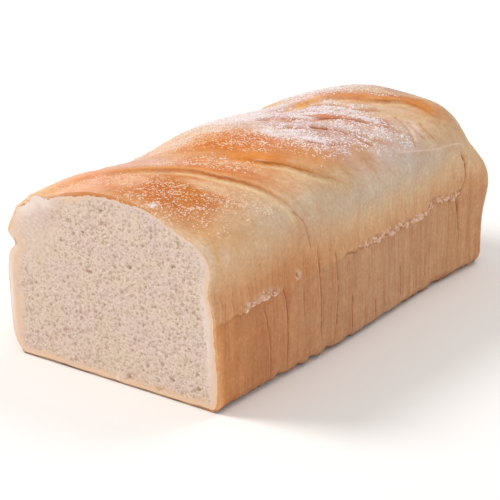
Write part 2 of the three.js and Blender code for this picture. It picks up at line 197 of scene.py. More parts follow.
# Fineness of the crust's skin: divisions of each stretch of the ring, and spacing along the loaf
DIVISIONS = {"dome": (72, 66), "wall": (66, 34), "foot": (8, 6), "base": (9, 9)}
RING_SPACING = 0.66
CORNER_RINGS = 14
REAR_SPACING = 1.3

# The cut, by mark: how thick the crust's edge shows and how browned it is
EDGE_SHOWS = [
    (-186, 0.9), (-134, 0.9), (-122, 0.4), (-82, 0.15), (-74, 0.9), (-64, 1.1), (-54, 1.5), (-46, 1.6),
    (-41.5, 0.6), (-37, 1.3), (-31.5, 0.9), (-27, 1.8), (-23, 1.9), (-16, 1.7), (-5, 1.6), (10, 1.3),
    (26, 0.8), (40, 0.5), (70, 0.7), (118, 0.9), (127, 1.5), (134, 1.5), (142, 1.0), (186, 0.9),
]
EDGE_BROWN = [
    (-186, 0), (-80, 0), (-46, 0.1), (-41, 0.3), (-30, 0.5), (-20, 0.8), (-8, 1), (8, 1), (20, 0.75),
    (34, 0.25), (60, 0.1), (80, 0.3), (118, 0.5), (127, 0.6), (136, 0.5), (146, 0.2), (186, 0),
]
# How far the crumb reaches under the crust's edge, how thick its slab is and how fine its mesh
EDGE_BEHIND = 0.4
CRUMB_DEPTH = 2.4
CRUMB_SPACING = 0.38
# The place of the flap of crust that broke back at the cut's upper left, by mark
FLAP = -57


# ---- Helpers for numbers ----
def ease(low, high, value):
    share = np.clip((value - low) / (high - low), 0, 1)
    return share * share * (3 - 2 * share)


def bell(distance, width):
    return np.exp(-((distance / width) ** 2))


def keyed(place, keys):
    """Smooth curve through (place, value) keys."""
    keys = np.array(keys, float)
    last = len(keys) - 2
    index = np.clip(np.searchsorted(keys[:, 0], place) - 1, 0, last)
    before, start = keys[np.maximum(index - 1, 0)], keys[index]
    end, after = keys[index + 1], keys[np.minimum(index + 2, last + 1)]
    width = end[..., 0] - start[..., 0]
    t = np.clip((place - start[..., 0]) / width, 0, 1)
    slope_in = np.where(index > 0, (end[..., 1] - before[..., 1]) / (end[..., 0] - before[..., 0]), 0)
    slope_out = np.where(index < last, (after[..., 1] - start[..., 1]) / (after[..., 0] - start[..., 0]), 0)
    return ((2 * t**3 - 3 * t**2 + 1) * start[..., 1] + (t**3 - 2 * t**2 + t) * width * slope_in
            + (3 * t**2 - 2 * t**3) * end[..., 1] + (t**3 - t**2) * width * slope_out)


def shares(place, keys):
    """Shares from 0 to 1 along a smooth curve."""
    return np.clip(keyed(place, keys), 0, 1)


def wobble(across, along, size, seed):
    """A smooth random field between -1 and 1, whose bumps are about `size` apart."""
    table = np.random.default_rng(seed).uniform(-1, 1, (128, 128))
    u, v = np.asarray(across) / size + 40, np.asarray(along) / size + 40
    i, j = np.floor(u).astype(int), np.floor(v).astype(int)
    fu, fv = ease(0, 1, u - i), ease(0, 1, v - j)
    low = table[i % 128, j % 128] * (1 - fu) + table[(i + 1) % 128, j % 128] * fu
    high = table[i % 128, (j + 1) % 128] * (1 - fu) + table[(i + 1) % 128, (j + 1) % 128] * fu
    return low * (1 - fv) + high * fv


class Route:
    """A smooth line through points of the crust, kept as short straight steps."""

    def __init__(self, points, steps=8):
        points = np.array(points, float)
        dots = []
        for i in range(len(points) - 1):
            p0, p1 = points[max(i - 1, 0)], points[i]
            p2, p3 = points[i + 1], points[min(i + 2, len(points) - 1)]
            for t in np.linspace(0, 1, steps, endpoint=False):
                dots.append(0.5 * (2 * p1 + (p2 - p0) * t + (2 * p0 - 5 * p1 + 4 * p2 - p3) * t**2
                                   + (3 * p1 - p0 - 3 * p2 + p3) * t**3))
        self.dots = np.array(dots + [points[-1]])

    def nearest(self, a, b):
        """Distance from the line, positive on its left, and the share of the line walked there."""
        a, b = np.broadcast_arrays(a, b)
        best = np.full(a.shape, 1e9)
        side = np.ones(a.shape)
        share = np.zeros(a.shape)
        steps = np.diff(self.dots, axis=0)
        lengths = np.hypot(steps[:, 0], steps[:, 1])
        walked = 0.0
        for start, step, length in zip(self.dots, steps, lengths):
            along = step / length
            da, db = a - start[0], b - start[1]
            t = np.clip(da * along[0] + db * along[1], 0, length)
            distance = np.hypot(da - t * along[0], db - t * along[1])
            nearer = distance < best
            best = np.where(nearer, distance, best)
            side = np.where(nearer, np.sign(along[0] * db - along[1] * da + 1e-12), side)
            share = np.where(nearer, (walked + t) / lengths.sum(), share)
            walked += length
        return side * best, share


def end_fade(share, head, tail):
    return ease(0, head, share) * (1 - ease(1 - tail, 1, share))


# ---- Section of the loaf ----
def arc_table(half_width, height, samples=128):
    """A quarter ellipse as angles against the distance walked from its top."""
    angles = np.linspace(math.pi / 2, 0, samples + 1)
    steps = np.hypot(np.diff(half_width * np.cos(angles)), np.diff(height * np.sin(angles)))
    return angles, np.concatenate([[0], np.cumsum(steps)])


ARCS = {sign: arc_table(HALF - WALL_LEAN[sign] - sign * CREST_OFFSET, DOME_HEIGHT[sign]) for sign in (1, -1)}
SPANS = {sign: {"dome": ARCS[sign][1][-1], "wall": WALL_HEIGHT[sign] - FOOT_RADIUS,
                "foot": FOOT_RADIUS * math.pi / 2, "base": HALF - FOOT_RADIUS} for sign in (1, -1)}


def half_section(sign, walked, station, inset):
    """One side of the plain section: x, z and the outward normal in the section."""
    span = SPANS[sign]
    lean = WALL_LEAN[sign]
    fall = np.clip((station - DOME_FALLS_FROM) / (DOME_FALLS_TO - DOME_FALLS_FROM), 0, 1)
    settle = (1 - fall**DOME_FALL_POWER) ** (1 / DOME_FALL_POWER)
    sink = np.clip((station - WALLS_SINK_FROM) / (LENGTH - WALLS_SINK_FROM), 0, 1) ** 2
    crest = DOME_REAR_HEIGHT + (keyed(station, CREST_HEIGHT) - DOME_REAR_HEIGHT) * settle
    wall_top = WALL_HEIGHT[sign] - WALL_SINK[sign] * sink
    crest_x = CREST_OFFSET * (1 - inset / HALF)
    reach = HALF - inset - lean - sign * crest_x
    rise = crest - wall_top

    angle = np.interp(walked, ARCS[sign][1], ARCS[sign][0])
    out = np.cos(angle)
    if sign < 0:
        rise = rise + (keyed(station, LEFT_SHOULDER) * settle - rise) * ease(0.1, 0.75, out)
    down = np.clip((walked - span["dome"]) / span["wall"], 0, 1)
    foot = reach + lean - FOOT_RADIUS
    past_wall = walked - span["dome"] - span["wall"]
    turn = np.clip(past_wall / FOOT_RADIUS, 0, math.pi / 2)
    inward = np.clip((past_wall - span["foot"]) / span["base"], 0, 1)

    zone = [walked <= span["dome"], down < 1, past_wall <= span["foot"]]
    x = np.select(zone, [reach * out, reach + lean * (1 - (1 - down) ** 2),
                         foot + FOOT_RADIUS * np.cos(turn)], foot - (foot + sign * crest_x) * inward)
    z = np.select(zone, [wall_top + rise * np.sin(angle), wall_top - down * (wall_top - FOOT_RADIUS),
                         FOOT_RADIUS * (1 - np.sin(turn))], 0.0)
    normal_x = np.select(zone, [out / reach, 1.0, np.cos(turn)], 0.0)
    normal_z = np.select(zone, [np.sin(angle) / np.maximum(rise, 1), 0.0, -np.sin(turn)], -1.0)
    size = np.hypot(normal_x, normal_z)
    return crest_x + sign * x, z, sign * normal_x / size, normal_z / size


def plain_section(mark, station, inset):
    right = half_section(1, np.abs(mark), station, inset)
    left = half_section(-1, np.abs(mark), station, inset)
    return [np.where(mark >= 0, a, b) for a, b in zip(right, left)]


# ---- Relief of the crust ----
def fold_relief(fold, mark, station):
    offset, share = Route(fold["route"]).nearest(mark, station)
    offset = offset + 0.35 * wobble(mark, station, 4, 11)
    behind = fold["rise"] * bell(np.maximum(offset, 0), fold["back"])
    before = -fold["cleft"] * bell(np.minimum(offset, 0), fold["front"])
    riser = fold["riser"] + 3.5 * ease(fold["soft"] + 4, fold["soft"] - 4, mark)
    step = 0.5 + 0.5 * np.tanh(1.6 * offset / riser)
    return (before + (behind - before) * step) * end_fade(share, fold["head"], fold["tail"])


def wrinkle_relief(points, depth, mark, station):
    """A groove with a low swelling on its far side."""
    offset, share = Route(points).nearest(mark, station)
    groove = bell(offset, WRINKLE_WIDTH) - 0.5 * bell(offset - 2.6, 1.8)
    return -depth * groove * end_fade(share, 0.15, 0.2)


def crease_relief(creases, a, b):
    """Grooves along the creases, each with a low swelling on its far side."""
    out = 0
    for points, depth in creases:
        offset, share = Route(points).nearest(a, b)
        groove = bell(offset, CREASE_WIDTH) - 0.3 * bell(offset + 2.4, 1.6)
        out = out - depth * groove * end_fade(share, 0.1, 0.12)
    return out


def seam_step(offset, lip, undercut):
    above = lip * bell(np.maximum(offset - 1.5, 0), 6)
    below = -undercut * bell(np.minimum(offset, 0), 7)
    return below + (above - below) * (0.5 + 0.5 * np.tanh(offset / 0.6))


def unevenness(along, seed):
    return 1 + 0.7 * wobble(along, 3, 4, seed)


def right_seam_is_open(station):
    """The right seam is torn open near both ends, and closed between them."""
    middle = ease(44, 56, station) * (1 - ease(94, 108, station))
    return (0.3 + 0.7 * ease(14, 20, station)) * (1 - middle) * (1 - ease(197, 203, station))


def raggedness(along):
    return SEAM_RAGGEDNESS * (wobble(along, 0, 3.2, 5) + 0.6 * wobble(along, 9, 1.5, 6))


def right_seam_offset(station, height):
    """Height above the right seam, whose edge is ragged."""
    return height - keyed(station, RIGHT_SEAM) - raggedness(station)


def left_seam_offset(station, height):
    return height - keyed(station, LEFT_SEAM) - raggedness(station + 300)


def rear_seam_offset(x, height):
    """Height above the seam of the rear face, which joins the seams of the two sides."""
    share = np.clip(0.5 + x / WIDTH, 0, 1)
    level = LEFT_SEAM[-1][1] + (RIGHT_SEAM[-1][1] - LEFT_SEAM[-1][1]) * share
    return height - level - raggedness(x + 600)


def overhang(height):
    return OVERHANG * bell(height - OVERHANG_HEIGHT, OVERHANG_THICK)


def bottom_hollows(along, height):
    """Notches along the bottom edge, which leave the crust a little above the floor."""
    notch = np.maximum(0.2 + 0.2 * wobble(along, 0, 3, 15) + 0.5 * wobble(along, 7, 1.6, 16), 0)
    for where, length, depth in BOTTOM_HOLLOWS:
        notch = np.maximum(notch, depth * (1 - np.clip(np.abs(along - where) / length, 0, 1) ** 2))
    return -notch * (1 - ease(1.5, 7, height))


def gap_to_pit(station, height):
    return np.hypot(station - PIT[0], height - PIT[1])


def right_wall_relief(station, height):
    out = crease_relief(RIGHT_CREASES, station, height)
    out = out + keyed(station, RIGHT_SWELL) * (1 - ease(30, 58, height)) * ease(0, 2, height)
    step = seam_step(right_seam_offset(station, height), SEAM_LIP * unevenness(station, 8), SEAM_UNDERCUT)
    out = out + step * right_seam_is_open(station)
    out = out + overhang(height) * ease(196, 222, station)
    depth, length, middle, width = SHOULDER_HOLLOW
    out = out - depth * (1 - ease(0, length, station)) * bell(height - middle, width)
    gap = gap_to_pit(station, height)
    return out - PIT[2] * bell(gap, PIT[3]) + 0.4 * bell(gap - 2 * PIT[3], 0.8)


def left_wall_relief(station, height):
    """Creases, the deep seam with the notch beside the cut, and a wall that is drawn in under it."""
    out = crease_relief(LEFT_CREASES, station, height)
    offset = height - keyed(station, LEFT_SEAM)
    out = out - (LEFT_SEAM_DEPTH - 1.8 * ease(0, 30, station)) * bell(offset, 3.2)
    out = out - 1.4 * (1 - ease(0, 40, station)) * bell(offset - 12, 6)
    step = seam_step(left_seam_offset(station, height), 0.8 * SEAM_LIP * unevenness(station, 9), 0.3)
    out = out + step * ease(14, 34, station)
    out = out - 1.8 * bell(height - 3, 5) * (1 - ease(2, 30, station))
    return out - 1.2 * bell(offset + 5, 6)


def rear_wall_relief(x, height):
    out = crease_relief(REAR_CREASES, x, height)
    out = out + seam_step(rear_seam_offset(x, height), SEAM_LIP * unevenness(x, 19), SEAM_UNDERCUT)
    out = out + overhang(height) + REAR_SWELL * ease(0, 14, height)
    return out * (1 - ease(50, 68, height)) + 0.7 * wobble(x, height, 17, 17) * ease(2, 12, height)


def torn_back(mark):
    """How far behind the cut face the crust's outer edge lies, where it broke back at the upper left."""
    return 1.0 * bell(mark - FLAP, 12) * (1 + 0.35 * wobble(mark, 0, 3.0, 21))


def crinkles(mark, station):
    """Low ridges of the rear dome's skin, drawn out along the slant of its wrinkles: height and cover."""
    across, along = 0.75 * mark - 0.66 * station, 0.66 * mark + 0.75 * station
    ridge = wobble(across, 0.18 * along, 3.2, 61) + 0.6 * wobble(across, 0.25 * along, 1.7, 62)
    cover = bell(mark - 12, 34) * ease(104, 116, station) * (1 - ease(160, 182, station))
    return ridge, cover


def relief(mark, station, height):
    """How far the crust stands out from the plain section."""
    out = np.zeros(mark.shape)
    for at, where, width, length, rise in LOBES:
        out += rise * np.exp(-((mark - at) / width) ** 2 - ((station - where) / length) ** 2)
    for fold in FOLDS:
        out += fold_relief(fold, mark, station)
    for points, depth, _ in WRINKLES:
        out += wrinkle_relief(points, depth, mark, station)
    offset, share = Route(REAR_RIDGE).nearest(mark, station)
    out += RIDGE_HEIGHT * (bell(offset, 1.5) * end_fade(share, 0.1, 0.15))
    ridge, cover = crinkles(mark, station)
    out += CRINKLE_HEIGHT * ridge * cover
    standing = height > 0.5
    right = standing & (mark > 0.86 * SPANS[1]["dome"])
    out[right] += right_wall_relief(station[right], height[right])
    left = standing & (mark < -0.8 * SPANS[-1]["dome"])
    out[left] += left_wall_relief(station[left], height[left])
    walls = np.abs(mark) > 100
    out[walls] += bottom_hollows(station[walls] + np.where(mark[walls] < 0, 7, 0), height[walls])
    return np.where(height > 0, out, 0)


# ---- Skin of the crust ----
def side_marks(sign):
    marks = [np.zeros(1)]
    for name in ("dome", "wall", "foot", "base"):
        count = DIVISIONS[name][0 if sign > 0 else 1]
        start = marks[-1][-1]
        marks.append(np.linspace(start, start + SPANS[sign][name], count + 1)[1:])
    return sign * np.concatenate(marks)


def ring_marks():
    """Marks round a ring: the middle of the base, up the left side, over the crest, down the right."""
    return np.concatenate([side_marks(-1)[:0:-1], side_marks(1)[:-1]])


def skin_points(marks, stations, inset=0.0, turn=0.0):
    """Points of the skin at the given marks and stations, with the inset and turn of the rear's rounding."""
    marks, stations, inset, turn = np.broadcast_arrays(marks, np.asarray(stations, float), inset, turn)
    x, z, normal_x, normal_z = plain_section(marks, stations, inset)
    out = relief(marks, stations, z)
    y = stations - CUT_LEAN * z * (1 - stations / LENGTH) + out * np.sin(turn)
    side = out * np.cos(turn)
    ragged = 0.5 * (0.5 + 0.5 * wobble(x, 0, 1.9, 27)) * (z <= 0) * np.clip(1 - stations / 4, 0, 1)
    return np.stack([x + normal_x * side, y, np.maximum(z + normal_z * side, ragged)], -1)


def cut_ring(marks, inset, behind):
    """A ring just inside the outline of the cut, some way behind the cut face."""
    points = skin_points(marks, 0)
    ahead, back = np.roll(points, -1, 0), np.roll(points, 1, 0)
    along = ahead - back
    normal = np.stack([-along[:, 2], along[:, 0]], 1)
    normal /= np.linalg.norm(normal, axis=1)[:, None] + 1e-9
    amount = np.broadcast_to(np.asarray(inset, float), marks.shape)
    points[:, 0] -= normal[:, 0] * amount
    points[:, 2] = np.maximum(points[:, 2] - normal[:, 1] * amount, 0.02)
    points[:, 1] = behind - CUT_LEAN * points[:, 2]
    return points


def edge_width(marks):
    """How thick the crust's edge shows round the cut."""
    return keyed(marks, EDGE_SHOWS) * (1 + 0.3 * wobble(marks, 0, 2.5, 31))


def inner_grid(outline, spacing, seed):
    """Points of an uneven triangular grid inside the outline, clear of its edge."""
    low, high = outline.min(0), outline.max(0)
    a = np.arange(low[0], high[0], spacing)
    b = np.arange(low[1], high[1], spacing * 0.87)
    grid_a, grid_b = np.meshgrid(a, b)
    grid_a = grid_a + (np.arange(len(b)) % 2)[:, None] * spacing / 2
    inner = np.stack([grid_a.ravel(), grid_b.ravel()], 1)
    inner += np.random.default_rng(seed).uniform(-0.12, 0.12, inner.shape) * spacing
    return inner[inside(outline, inner) & (gap_to(outline, inner)[0] > 0.55 * spacing)]


def fill_outline(outline, spacing=None, seed=1):
    """Triangles inside a closed outline of (a, b) points, and the points added between them."""
    inner = inner_grid(outline, spacing, seed) if spacing else np.zeros((0, 2))
    count = len(outline)
    points = [Vector(p) for p in np.vstack([outline, inner]).tolist()]
    edges = [(i, (i + 1) % count) for i in range(count)]
    triangles = np.array(delaunay_2d_cdt(points, edges, [], 1, 1e-7, False)[2])
    centres = np.vstack([outline, inner])[triangles].mean(1)
    return triangles[inside(outline, centres)], inner


def inside(outline, points):
    result = np.zeros(len(points), bool)
    for (xa, ya), (xb, yb) in zip(outline, np.roll(outline, -1, 0)):
        crosses = (ya > points[:, 1]) != (yb > points[:, 1])
        if ya != yb:
            result ^= crosses & (points[:, 0] < (xb - xa) * (points[:, 1] - ya) / (yb - ya) + xa)
    return result


def gap_to(outline, points):
    """Distance from each point to the outline's nearest point, and that point's number."""
    gap = np.full(len(points), 1e9)
    which = np.zeros(len(points), int)
    for number, spot in enumerate(outline):
        distance = np.hypot(points[:, 0] - spot[0], points[:, 1] - spot[1])
        nearer = distance < gap
        gap[nearer] = distance[nearer]
        which[nearer] = number
    return gap, which


def strip_faces(first, second, count):
    """Quads between two closed rings of the same count, given by their first points' numbers."""
    j = np.arange(count)
    k = (j + 1) % count
    return np.stack([first + j, first + k, second + k, second + j], 1)


def place_object(name, data):
    thing = bpy.data.objects.new(name, data)
    bpy.context.scene.collection.objects.link(thing)
    return thing


def make_mesh(name, points, faces, values, material, paint=None):
    """A smooth mesh in metres, with named values and a colour at each point."""
    mesh = bpy.data.meshes.new(name)
    mesh.from_pydata(((points - BASE_MIDDLE) * MM).tolist(), [], faces)
    for label, value in values.items():
        layer = mesh.attributes.new(label, "FLOAT", "POINT")
        layer.data.foreach_set("value", np.broadcast_to(value, len(points)).astype(np.float32))
    if paint is not None:
        layer = mesh.attributes.new("paint", "FLOAT_COLOR", "POINT")
        opaque = np.concatenate([paint, np.ones((len(paint), 1))], 1)
        layer.data.foreach_set("color", opaque.astype(np.float32).ravel())
    mesh.shade_smooth()
    mesh.materials.append(material)
    mesh.validate()
    mesh.update()
    return place_object(name, mesh)


def rear_points(last_ring, inner):
    """Points of the rear face between the left and right sides of the last ring."""
    crest = int(np.argmax(last_ring[:, 2]))
    left, right = last_ring[:crest + 1], last_ring[crest:][::-1]
    height = inner[:, 1]
    sides = []
    for side in (left, right):
        order = np.argsort(side[:, 2])
        sides.append([np.interp(height, side[order, 2], side[order, axis]) for axis in (0, 1)])
    (left_x, left_y), (right_x, right_y) = sides
    across = np.clip((inner[:, 0] - left_x) / np.maximum(right_x - left_x, 1), 0, 1)
    near_left, near_right = (1 - across) ** 4, across**4
    edge = near_left * (left_y - LENGTH) + near_right * (right_y - LENGTH)
    y = LENGTH + edge + (1 - near_left - near_right) * rear_wall_relief(inner[:, 0], height)
    return np.stack([inner[:, 0], y, height], 1)


def skin_rings(marks):
    """Rings from the cut to the rounding of the rear, and the station of each."""
    straight = LENGTH - CORNER_RADIUS
    corner = math.pi / 2 * np.arange(1, CORNER_RINGS + 1) / CORNER_RINGS
    stations = np.linspace(0, straight, round(straight / RING_SPACING) + 1)
    insets = np.concatenate([0 * stations, CORNER_RADIUS * (1 - np.cos(corner))])
    turns = np.concatenate([0 * stations, corner])
    stations = np.concatenate([stations, straight + CORNER_RADIUS * np.sin(corner)])
    broken = torn_back(marks) * np.clip(1 - stations / 14, 0, 1)[:, None]
    places = np.maximum(stations, 0.25)[:, None] + broken
    return list(skin_points(marks[None, :], places, insets[:, None], turns[:, None])), stations


def edge_rings(marks):
    """Rings of the crust's edge at the cut, from behind the crumb to the outer edge."""
    thick = edge_width(marks) + EDGE_BEHIND
    back = torn_back(marks)
    rings = [cut_ring(marks, thick, CRUMB_DEPTH + 0.4)]
    for share in (0.0, 0.5, 1.0):
        rings.append(cut_ring(marks, thick - share * (thick - 0.25), 0.04 + back * share**1.6))
    return rings


def make_crust(material):
    marks = ring_marks()
    count = len(marks)
    edge = edge_rings(marks)
    tube, stations = skin_rings(marks)
    rings = edge + tube
    stations = np.concatenate([np.zeros(len(edge)), stations])

    faces = [strip_faces(i * count, (i + 1) * count, count) for i in range(len(rings) - 1)]
    faces = np.vstack(faces).tolist()
    faces += fill_outline(rings[0][:, [0, 2]])[0].tolist()
    rear, inner = fill_outline(rings[-1][:, [0, 2]], REAR_SPACING)
    total = len(rings) * count
    number = np.concatenate([np.arange(count) + total - count, np.arange(len(inner)) + total])
    faces += number[rear][:, ::-1].tolist()

    points = np.vstack(rings + [rear_points(rings[-1], inner)])
    skin = {
        "mark": np.concatenate([np.tile(marks, len(rings)), np.sign(inner[:, 0]) * 100]),
        "station": np.concatenate([np.repeat(stations, count), np.full(len(inner), LENGTH)]),
        "cut_edge": np.arange(len(points)) < len(edge) * count,
        "rear": np.arange(len(points)) >= total,
        "x": points[:, 0], "height": points[:, 2],
    }
    values, paint = crust_values(skin)
    return make_mesh("crust_form", points, faces, values, material, paint)


# ---- How the crust is baked and floured ----
# Colour of the dome where nothing else is laid over it
DOME_BEIGE = "#DAB78F"
# Patches of colour on the dome: colour, mark, station, half width, half length, turn in degrees, strength
DOME_PATCHES = [
    # Dusty right shoulder, from the middle to the rear, and its pale front end
    ("#CBB59E", 62, 105, 20, 62, 0, 0.9), ("#E7C6A9", 55, 135, 12, 22, 0, 0.7),
    ("#C9B5A6", 63, 168, 10, 22, 0, 0.6), ("#E9BC87", 52, 12, 12, 18, 0, 0.6),
    ("#DBCEC6", 58, 12, 6, 6, 0, 0.3), ("#DBC8B2", 50, 46, 8, 12, 0, 0.6),
    ("#C57741", 68, 64, 10, 9, 30, 0.3),
    # Front lobe: pale pink left side, orange middle, red-brown heart
    ("#EFB294", -22, 12, 22, 18, 0, 1.0), ("#C7732C", 16, 22, 33, 25, 0, 1.0),
    ("#CB7625", 20, 29, 19, 9, -25, 0.95), ("#BE6227", 12, 16, 14, 8, 0, 0.6),
    # Second lobe, behind the front fold
    ("#D28046", 14, 57, 34, 13, 32, 1.0), ("#DBB09D", -18, 42, 18, 12, 32, 0.9),
    # Third lobe, behind the middle fold: amber, paler to the right and the left
    ("#D7883D", -6, 80, 44, 19, 18, 1.0), ("#CC6E1A", 0, 78, 17, 9, 40, 0.8),
    ("#DE8A38", 18, 76, 12, 8, 40, 0.9),
    ("#D6823F", 26, 96, 20, 15, 30, 0.9), ("#CC8F69", 38, 116, 12, 24, 0, 0.8),
    ("#E8CDC4", -42, 76, 18, 20, 0, 0.8),
    # Wrinkled skin of the rear dome, and the browner places on its right
    ("#D0B2B4", 4, 132, 40, 32, 0, 0.85), ("#CC7A48", 10, 95, 28, 7, 14, 0.8),
    ("#D39055", 35, 99, 15, 12, 30, 0.85),
    ("#CE9270", 20, 145, 5, 16, -50, 0.9), ("#C98A66", 33, 116, 6, 6, 20, 0.7),
    ("#C89A6A", 45, 129, 8, 8, 0, 0.7), ("#B9806A", 35, 161, 7, 5, 0, 0.8),
    ("#CF9A6C", 43, 146, 5, 6, 0, 0.7),
    ("#F2D9D4", 0, 121, 6, 4, 30, 0.9), ("#CCBBB9", 50, 152, 12, 18, 20, 0.6),
    # Rear fold and the end of the dome
    ("#D8B79B", 15, 172, 26, 7, 37, 0.85), ("#D08D5F", -2, 176, 20, 11, 30, 1.0),
    ("#C17E50", 25, 192, 15, 7, 30, 1.0), ("#CD8134", 38, 198, 10, 9, 0, 0.8),
    ("#D0AD8A", 54, 196, 13, 16, 0, 0.9),
    ("#D0BFBC", -26, 192, 22, 20, 0, 0.8), ("#B18D92", 8, 205, 16, 9, 0, 0.6),
    # Warm edge at the upper left of the cut, bright streak and pale skin left of the rear fold
    ("#E8B88A", -42, 6, 9, 12, 40, 0.6), ("#F0AC50", -8, 149, 3.0, 12, 0, 0.95),
    ("#E9D6D2", -23, 131, 12, 18, 0, 0.9),
    # Right shoulder beside the front and middle folds
    ("#D9B78F", 48, 30, 11, 12, 0, 0.6), ("#E3CDBF", 41, 171, 8, 6, 0, 0.6),
    ("#CDA77C", 50, 106, 10, 10, 30, 0.6),
    ("#CFAE88", 62, 78, 10, 14, 0, 0.5), ("#C2B5A2", 66, 140, 12, 42, 0, 0.4),
    ("#E0A078", -4, 20, 12, 8, 0, 0.6), ("#D8BEA6", 30, 212, 14, 10, 0, 0.9),
    ("#E3A06A", -30, 11, 7, 6, 0, 0.5),
    ("#E2AC7A", 31, 68, 12, 5, 30, 0.6), ("#E0B58A", 26, 42, 8, 6, 30, 0.7),
    ("#DDBB8C", 41, 85, 9, 9, 30, 0.5),
    ("#E3B892", 43, 71, 8, 8, 30, 0.5), ("#DCC6A8", 56, 73, 8, 8, 0, 0.5),
    # Pale rims that the folds stretched
    ("#EAAE84", 16, 64, 12, 4, 30, 0.5), ("#DCC0B4", 11, 104, 9, 5, 0, 0.6),
    ("#EDB795", -4, 18, 8, 7, 20, 0.5),
    ("#D2B48C", 49, 98, 9, 10, 30, 0.6), ("#E8C09A", 21, 37, 11, 4.5, 10, 0.65),
    ("#E8B890", 0, 30, 7, 4, 25, 0.5),
    # Bare skin in the wrinkles of the rear dome
    ("#D9986E", 15, 136, 7, 6, 40, 0.6), ("#C77F5C", -1, 121, 9, 2.2, 32, 0.9),
    ("#CF8058", 13, 140, 11, 2.2, 38, 0.8), ("#C58A6E", 36, 158, 6, 4, 30, 0.6),
]
# Cover of flour on the dome: mark, station, half width, half length, turn, strength
FLOUR_PATCHES = [
    # Front lobe: a thin dusting, with one thick spot at the cut
    (20, 18, 26, 21, 0, 0.46), (22, 6, 4, 4, 0, 0.95), (0, 15, 6, 5, 0, 0.35), (34, 14, 8, 9, 0, 0.5),
    # Second and third lobes, with the drifts along their folds
    (40, 40, 11, 12, 0, 0.55), (48, 50, 8, 9, 0, 0.4), (-8, 46, 7, 5, 32, 0.7), (6, 54, 24, 9, 32, 0.5),
    (8, 92, 32, 12, 32, 0.5), (-24, 117, 26, 14, 12, 1.0), (14, 112, 16, 12, 10, 0.9),
    (10, 105, 10, 7, 0, 1.0),
    (15, 62, 14, 6, 30, 0.6), (-18, 98, 10, 10, 0, 0.8), (25, 118, 14, 13, 20, 0.75),
    # Rear dome
    (0, 136, 17, 14, 10, 0.9), (32, 139, 15, 12, 30, 0.65), (10, 156, 16, 10, 30, 0.85),
    (30, 152, 20, 11, 30, 0.8),
    (46, 162, 13, 10, 30, 0.35), (-26, 150, 28, 24, 0, 0.8), (-24, 194, 26, 22, 0, 0.8),
    (10, 190, 12, 7, 30, 0.35),
    # Left side, and a little beside the front fold
    (-20, 66, 16, 8, 30, 0.3), (-40, 122, 16, 26, 0, 1.0), (-34, 20, 9, 14, 0, 0.7), (-24, 19, 8, 8, 0, 0.5),
    (-18, 14, 13, 9, 0, 0.5), (-2, 20, 12, 9, 0, 0.55), (-24, 130, 15, 18, 0, 1.0), (-32, 84, 18, 22, 0, 0.8),
]
# Streaks of the rear dome that the flour left bare
BARE_STREAKS = [(-8, 148, 4.5, 15, 0, 0.9), (-1, 121, 9, 2.2, 32, 0.8), (13, 140, 11, 2.2, 38, 0.7)]
# Tan of the upper wall and how far it reaches above the seam, and colour of the tin wall, by station
UPPER_WALL = [
    (0, 0.55), (8, 0.75), (52, 0.95), (70, 0.85), (92, 0.6), (112, 0.6), (150, 0.5), (200, 0.6), (227, 0.6),
]
UPPER_REACH = ([0, 36, 50, 75, 100, 200, 227], [18, 16, 19, 16, 9, 9, 12])
WALL_COLOURS = [
    (0, "#D6975F"), (5, "#C88A58"), (30, "#BE8358"), (36, "#BD8055"), (40, "#C68D61"), (80, "#C3916A"),
    (140, "#C69A76"), (190, "#C8986F"), (227, "#CA956C"),
]
# Strength of the wall's streaks and of the grooves above the seam, by station
STREAKED = ([0, 60, 120, 227], [0.6, 0.6, 1, 0.9])
FLUTED = ([0, 8, 26, 46, 54, 76, 90, 120, 227], [0.5, 1, 1, 0.9, 0.5, 0.8, 0.6, 0.6, 0.6])
# Colours of the crust, the crumb, the flour and the floor, by what they belong to. The pit, the groove,
# the pores, the hole and the valley are painted shade in hollows; the underside and the crack are partly
# painted shade; the crumb's light and dark specks are painted highlight and shade of its fine ridges.
TONES = {
    "valley of a crinkle": "#B98468", "far side": "#DDBF98", "rim of a fold": "#E6C99C",
    "upper wall": "#C98B5A", "smear": "#EACDB8", "cut corner": "#DC9C62", "foot": "#A8714A",
    "shoulder rim": "#E6D0B4", "soft rim": "#E6C4A2", "left rim": "#EDD3B8", "pit rim": "#F0D9C0",
    "pit": "#7A4A2A", "underside": "#6B4026", "cloud": "#F2CBA4", "fleck": "#EBC7A6", "stretch": "#E9B78F",
    "thin streak": "#E3B896", "wide streak": "#E3B491", "groove": "#D39A6C", "baked cleft": "#DC8E42",
    "burnt cleft": "#AD5C22", "crest": "#EFD2BC", "beside a crack": "#D08F68",
    "lit side of a crack": "#E9BE94", "crack": "#9C5936", "seam shadow": "#95603C", "torn hollow": "#BC8560",
    "torn lump": "#F7D5BC", "cut edge": "#D28950", "pale flap": "#F3D8B8", "golden flap": "#E4AE70",
    "soaked dust": "#F8D5B2", "dry dust": "#F1E5E8", "crumb": "#E0C8BC", "warm crumb": "#E0CAB6",
    "close crumb": "#E3CCC0", "crumb highlight": "#F3E0D2", "crumb shade": "#CDB39E", "pore": "#B48E7A",
    "olive pore": "#AA9274", "hole": "#AE8F66", "tan band": "#EBC6A4", "pale band": "#F6E5D9",
    "valley": "#DDBFA0", "soaked grain low": "#F0C6A6", "soaked grain": "#FAE0CC",
    "dry grain low": "#F1E0DA", "dry grain": "#FDF6F4", "flake low": "#D9A27A", "flake": "#FBE2D0",
    "floor": "#FAF9F8",
}


def colour(tone):
    """Linear colour of a named tone or a #rrggbb code."""
    code = TONES.get(tone, tone)
    channels = [int(code[i:i + 2], 16) / 255 for i in (1, 3, 5)]
    return tuple(c / 12.92 if c <= 0.04045 else ((c + 0.055) / 1.055) ** 2.4 for c in channels) + (1.0,)


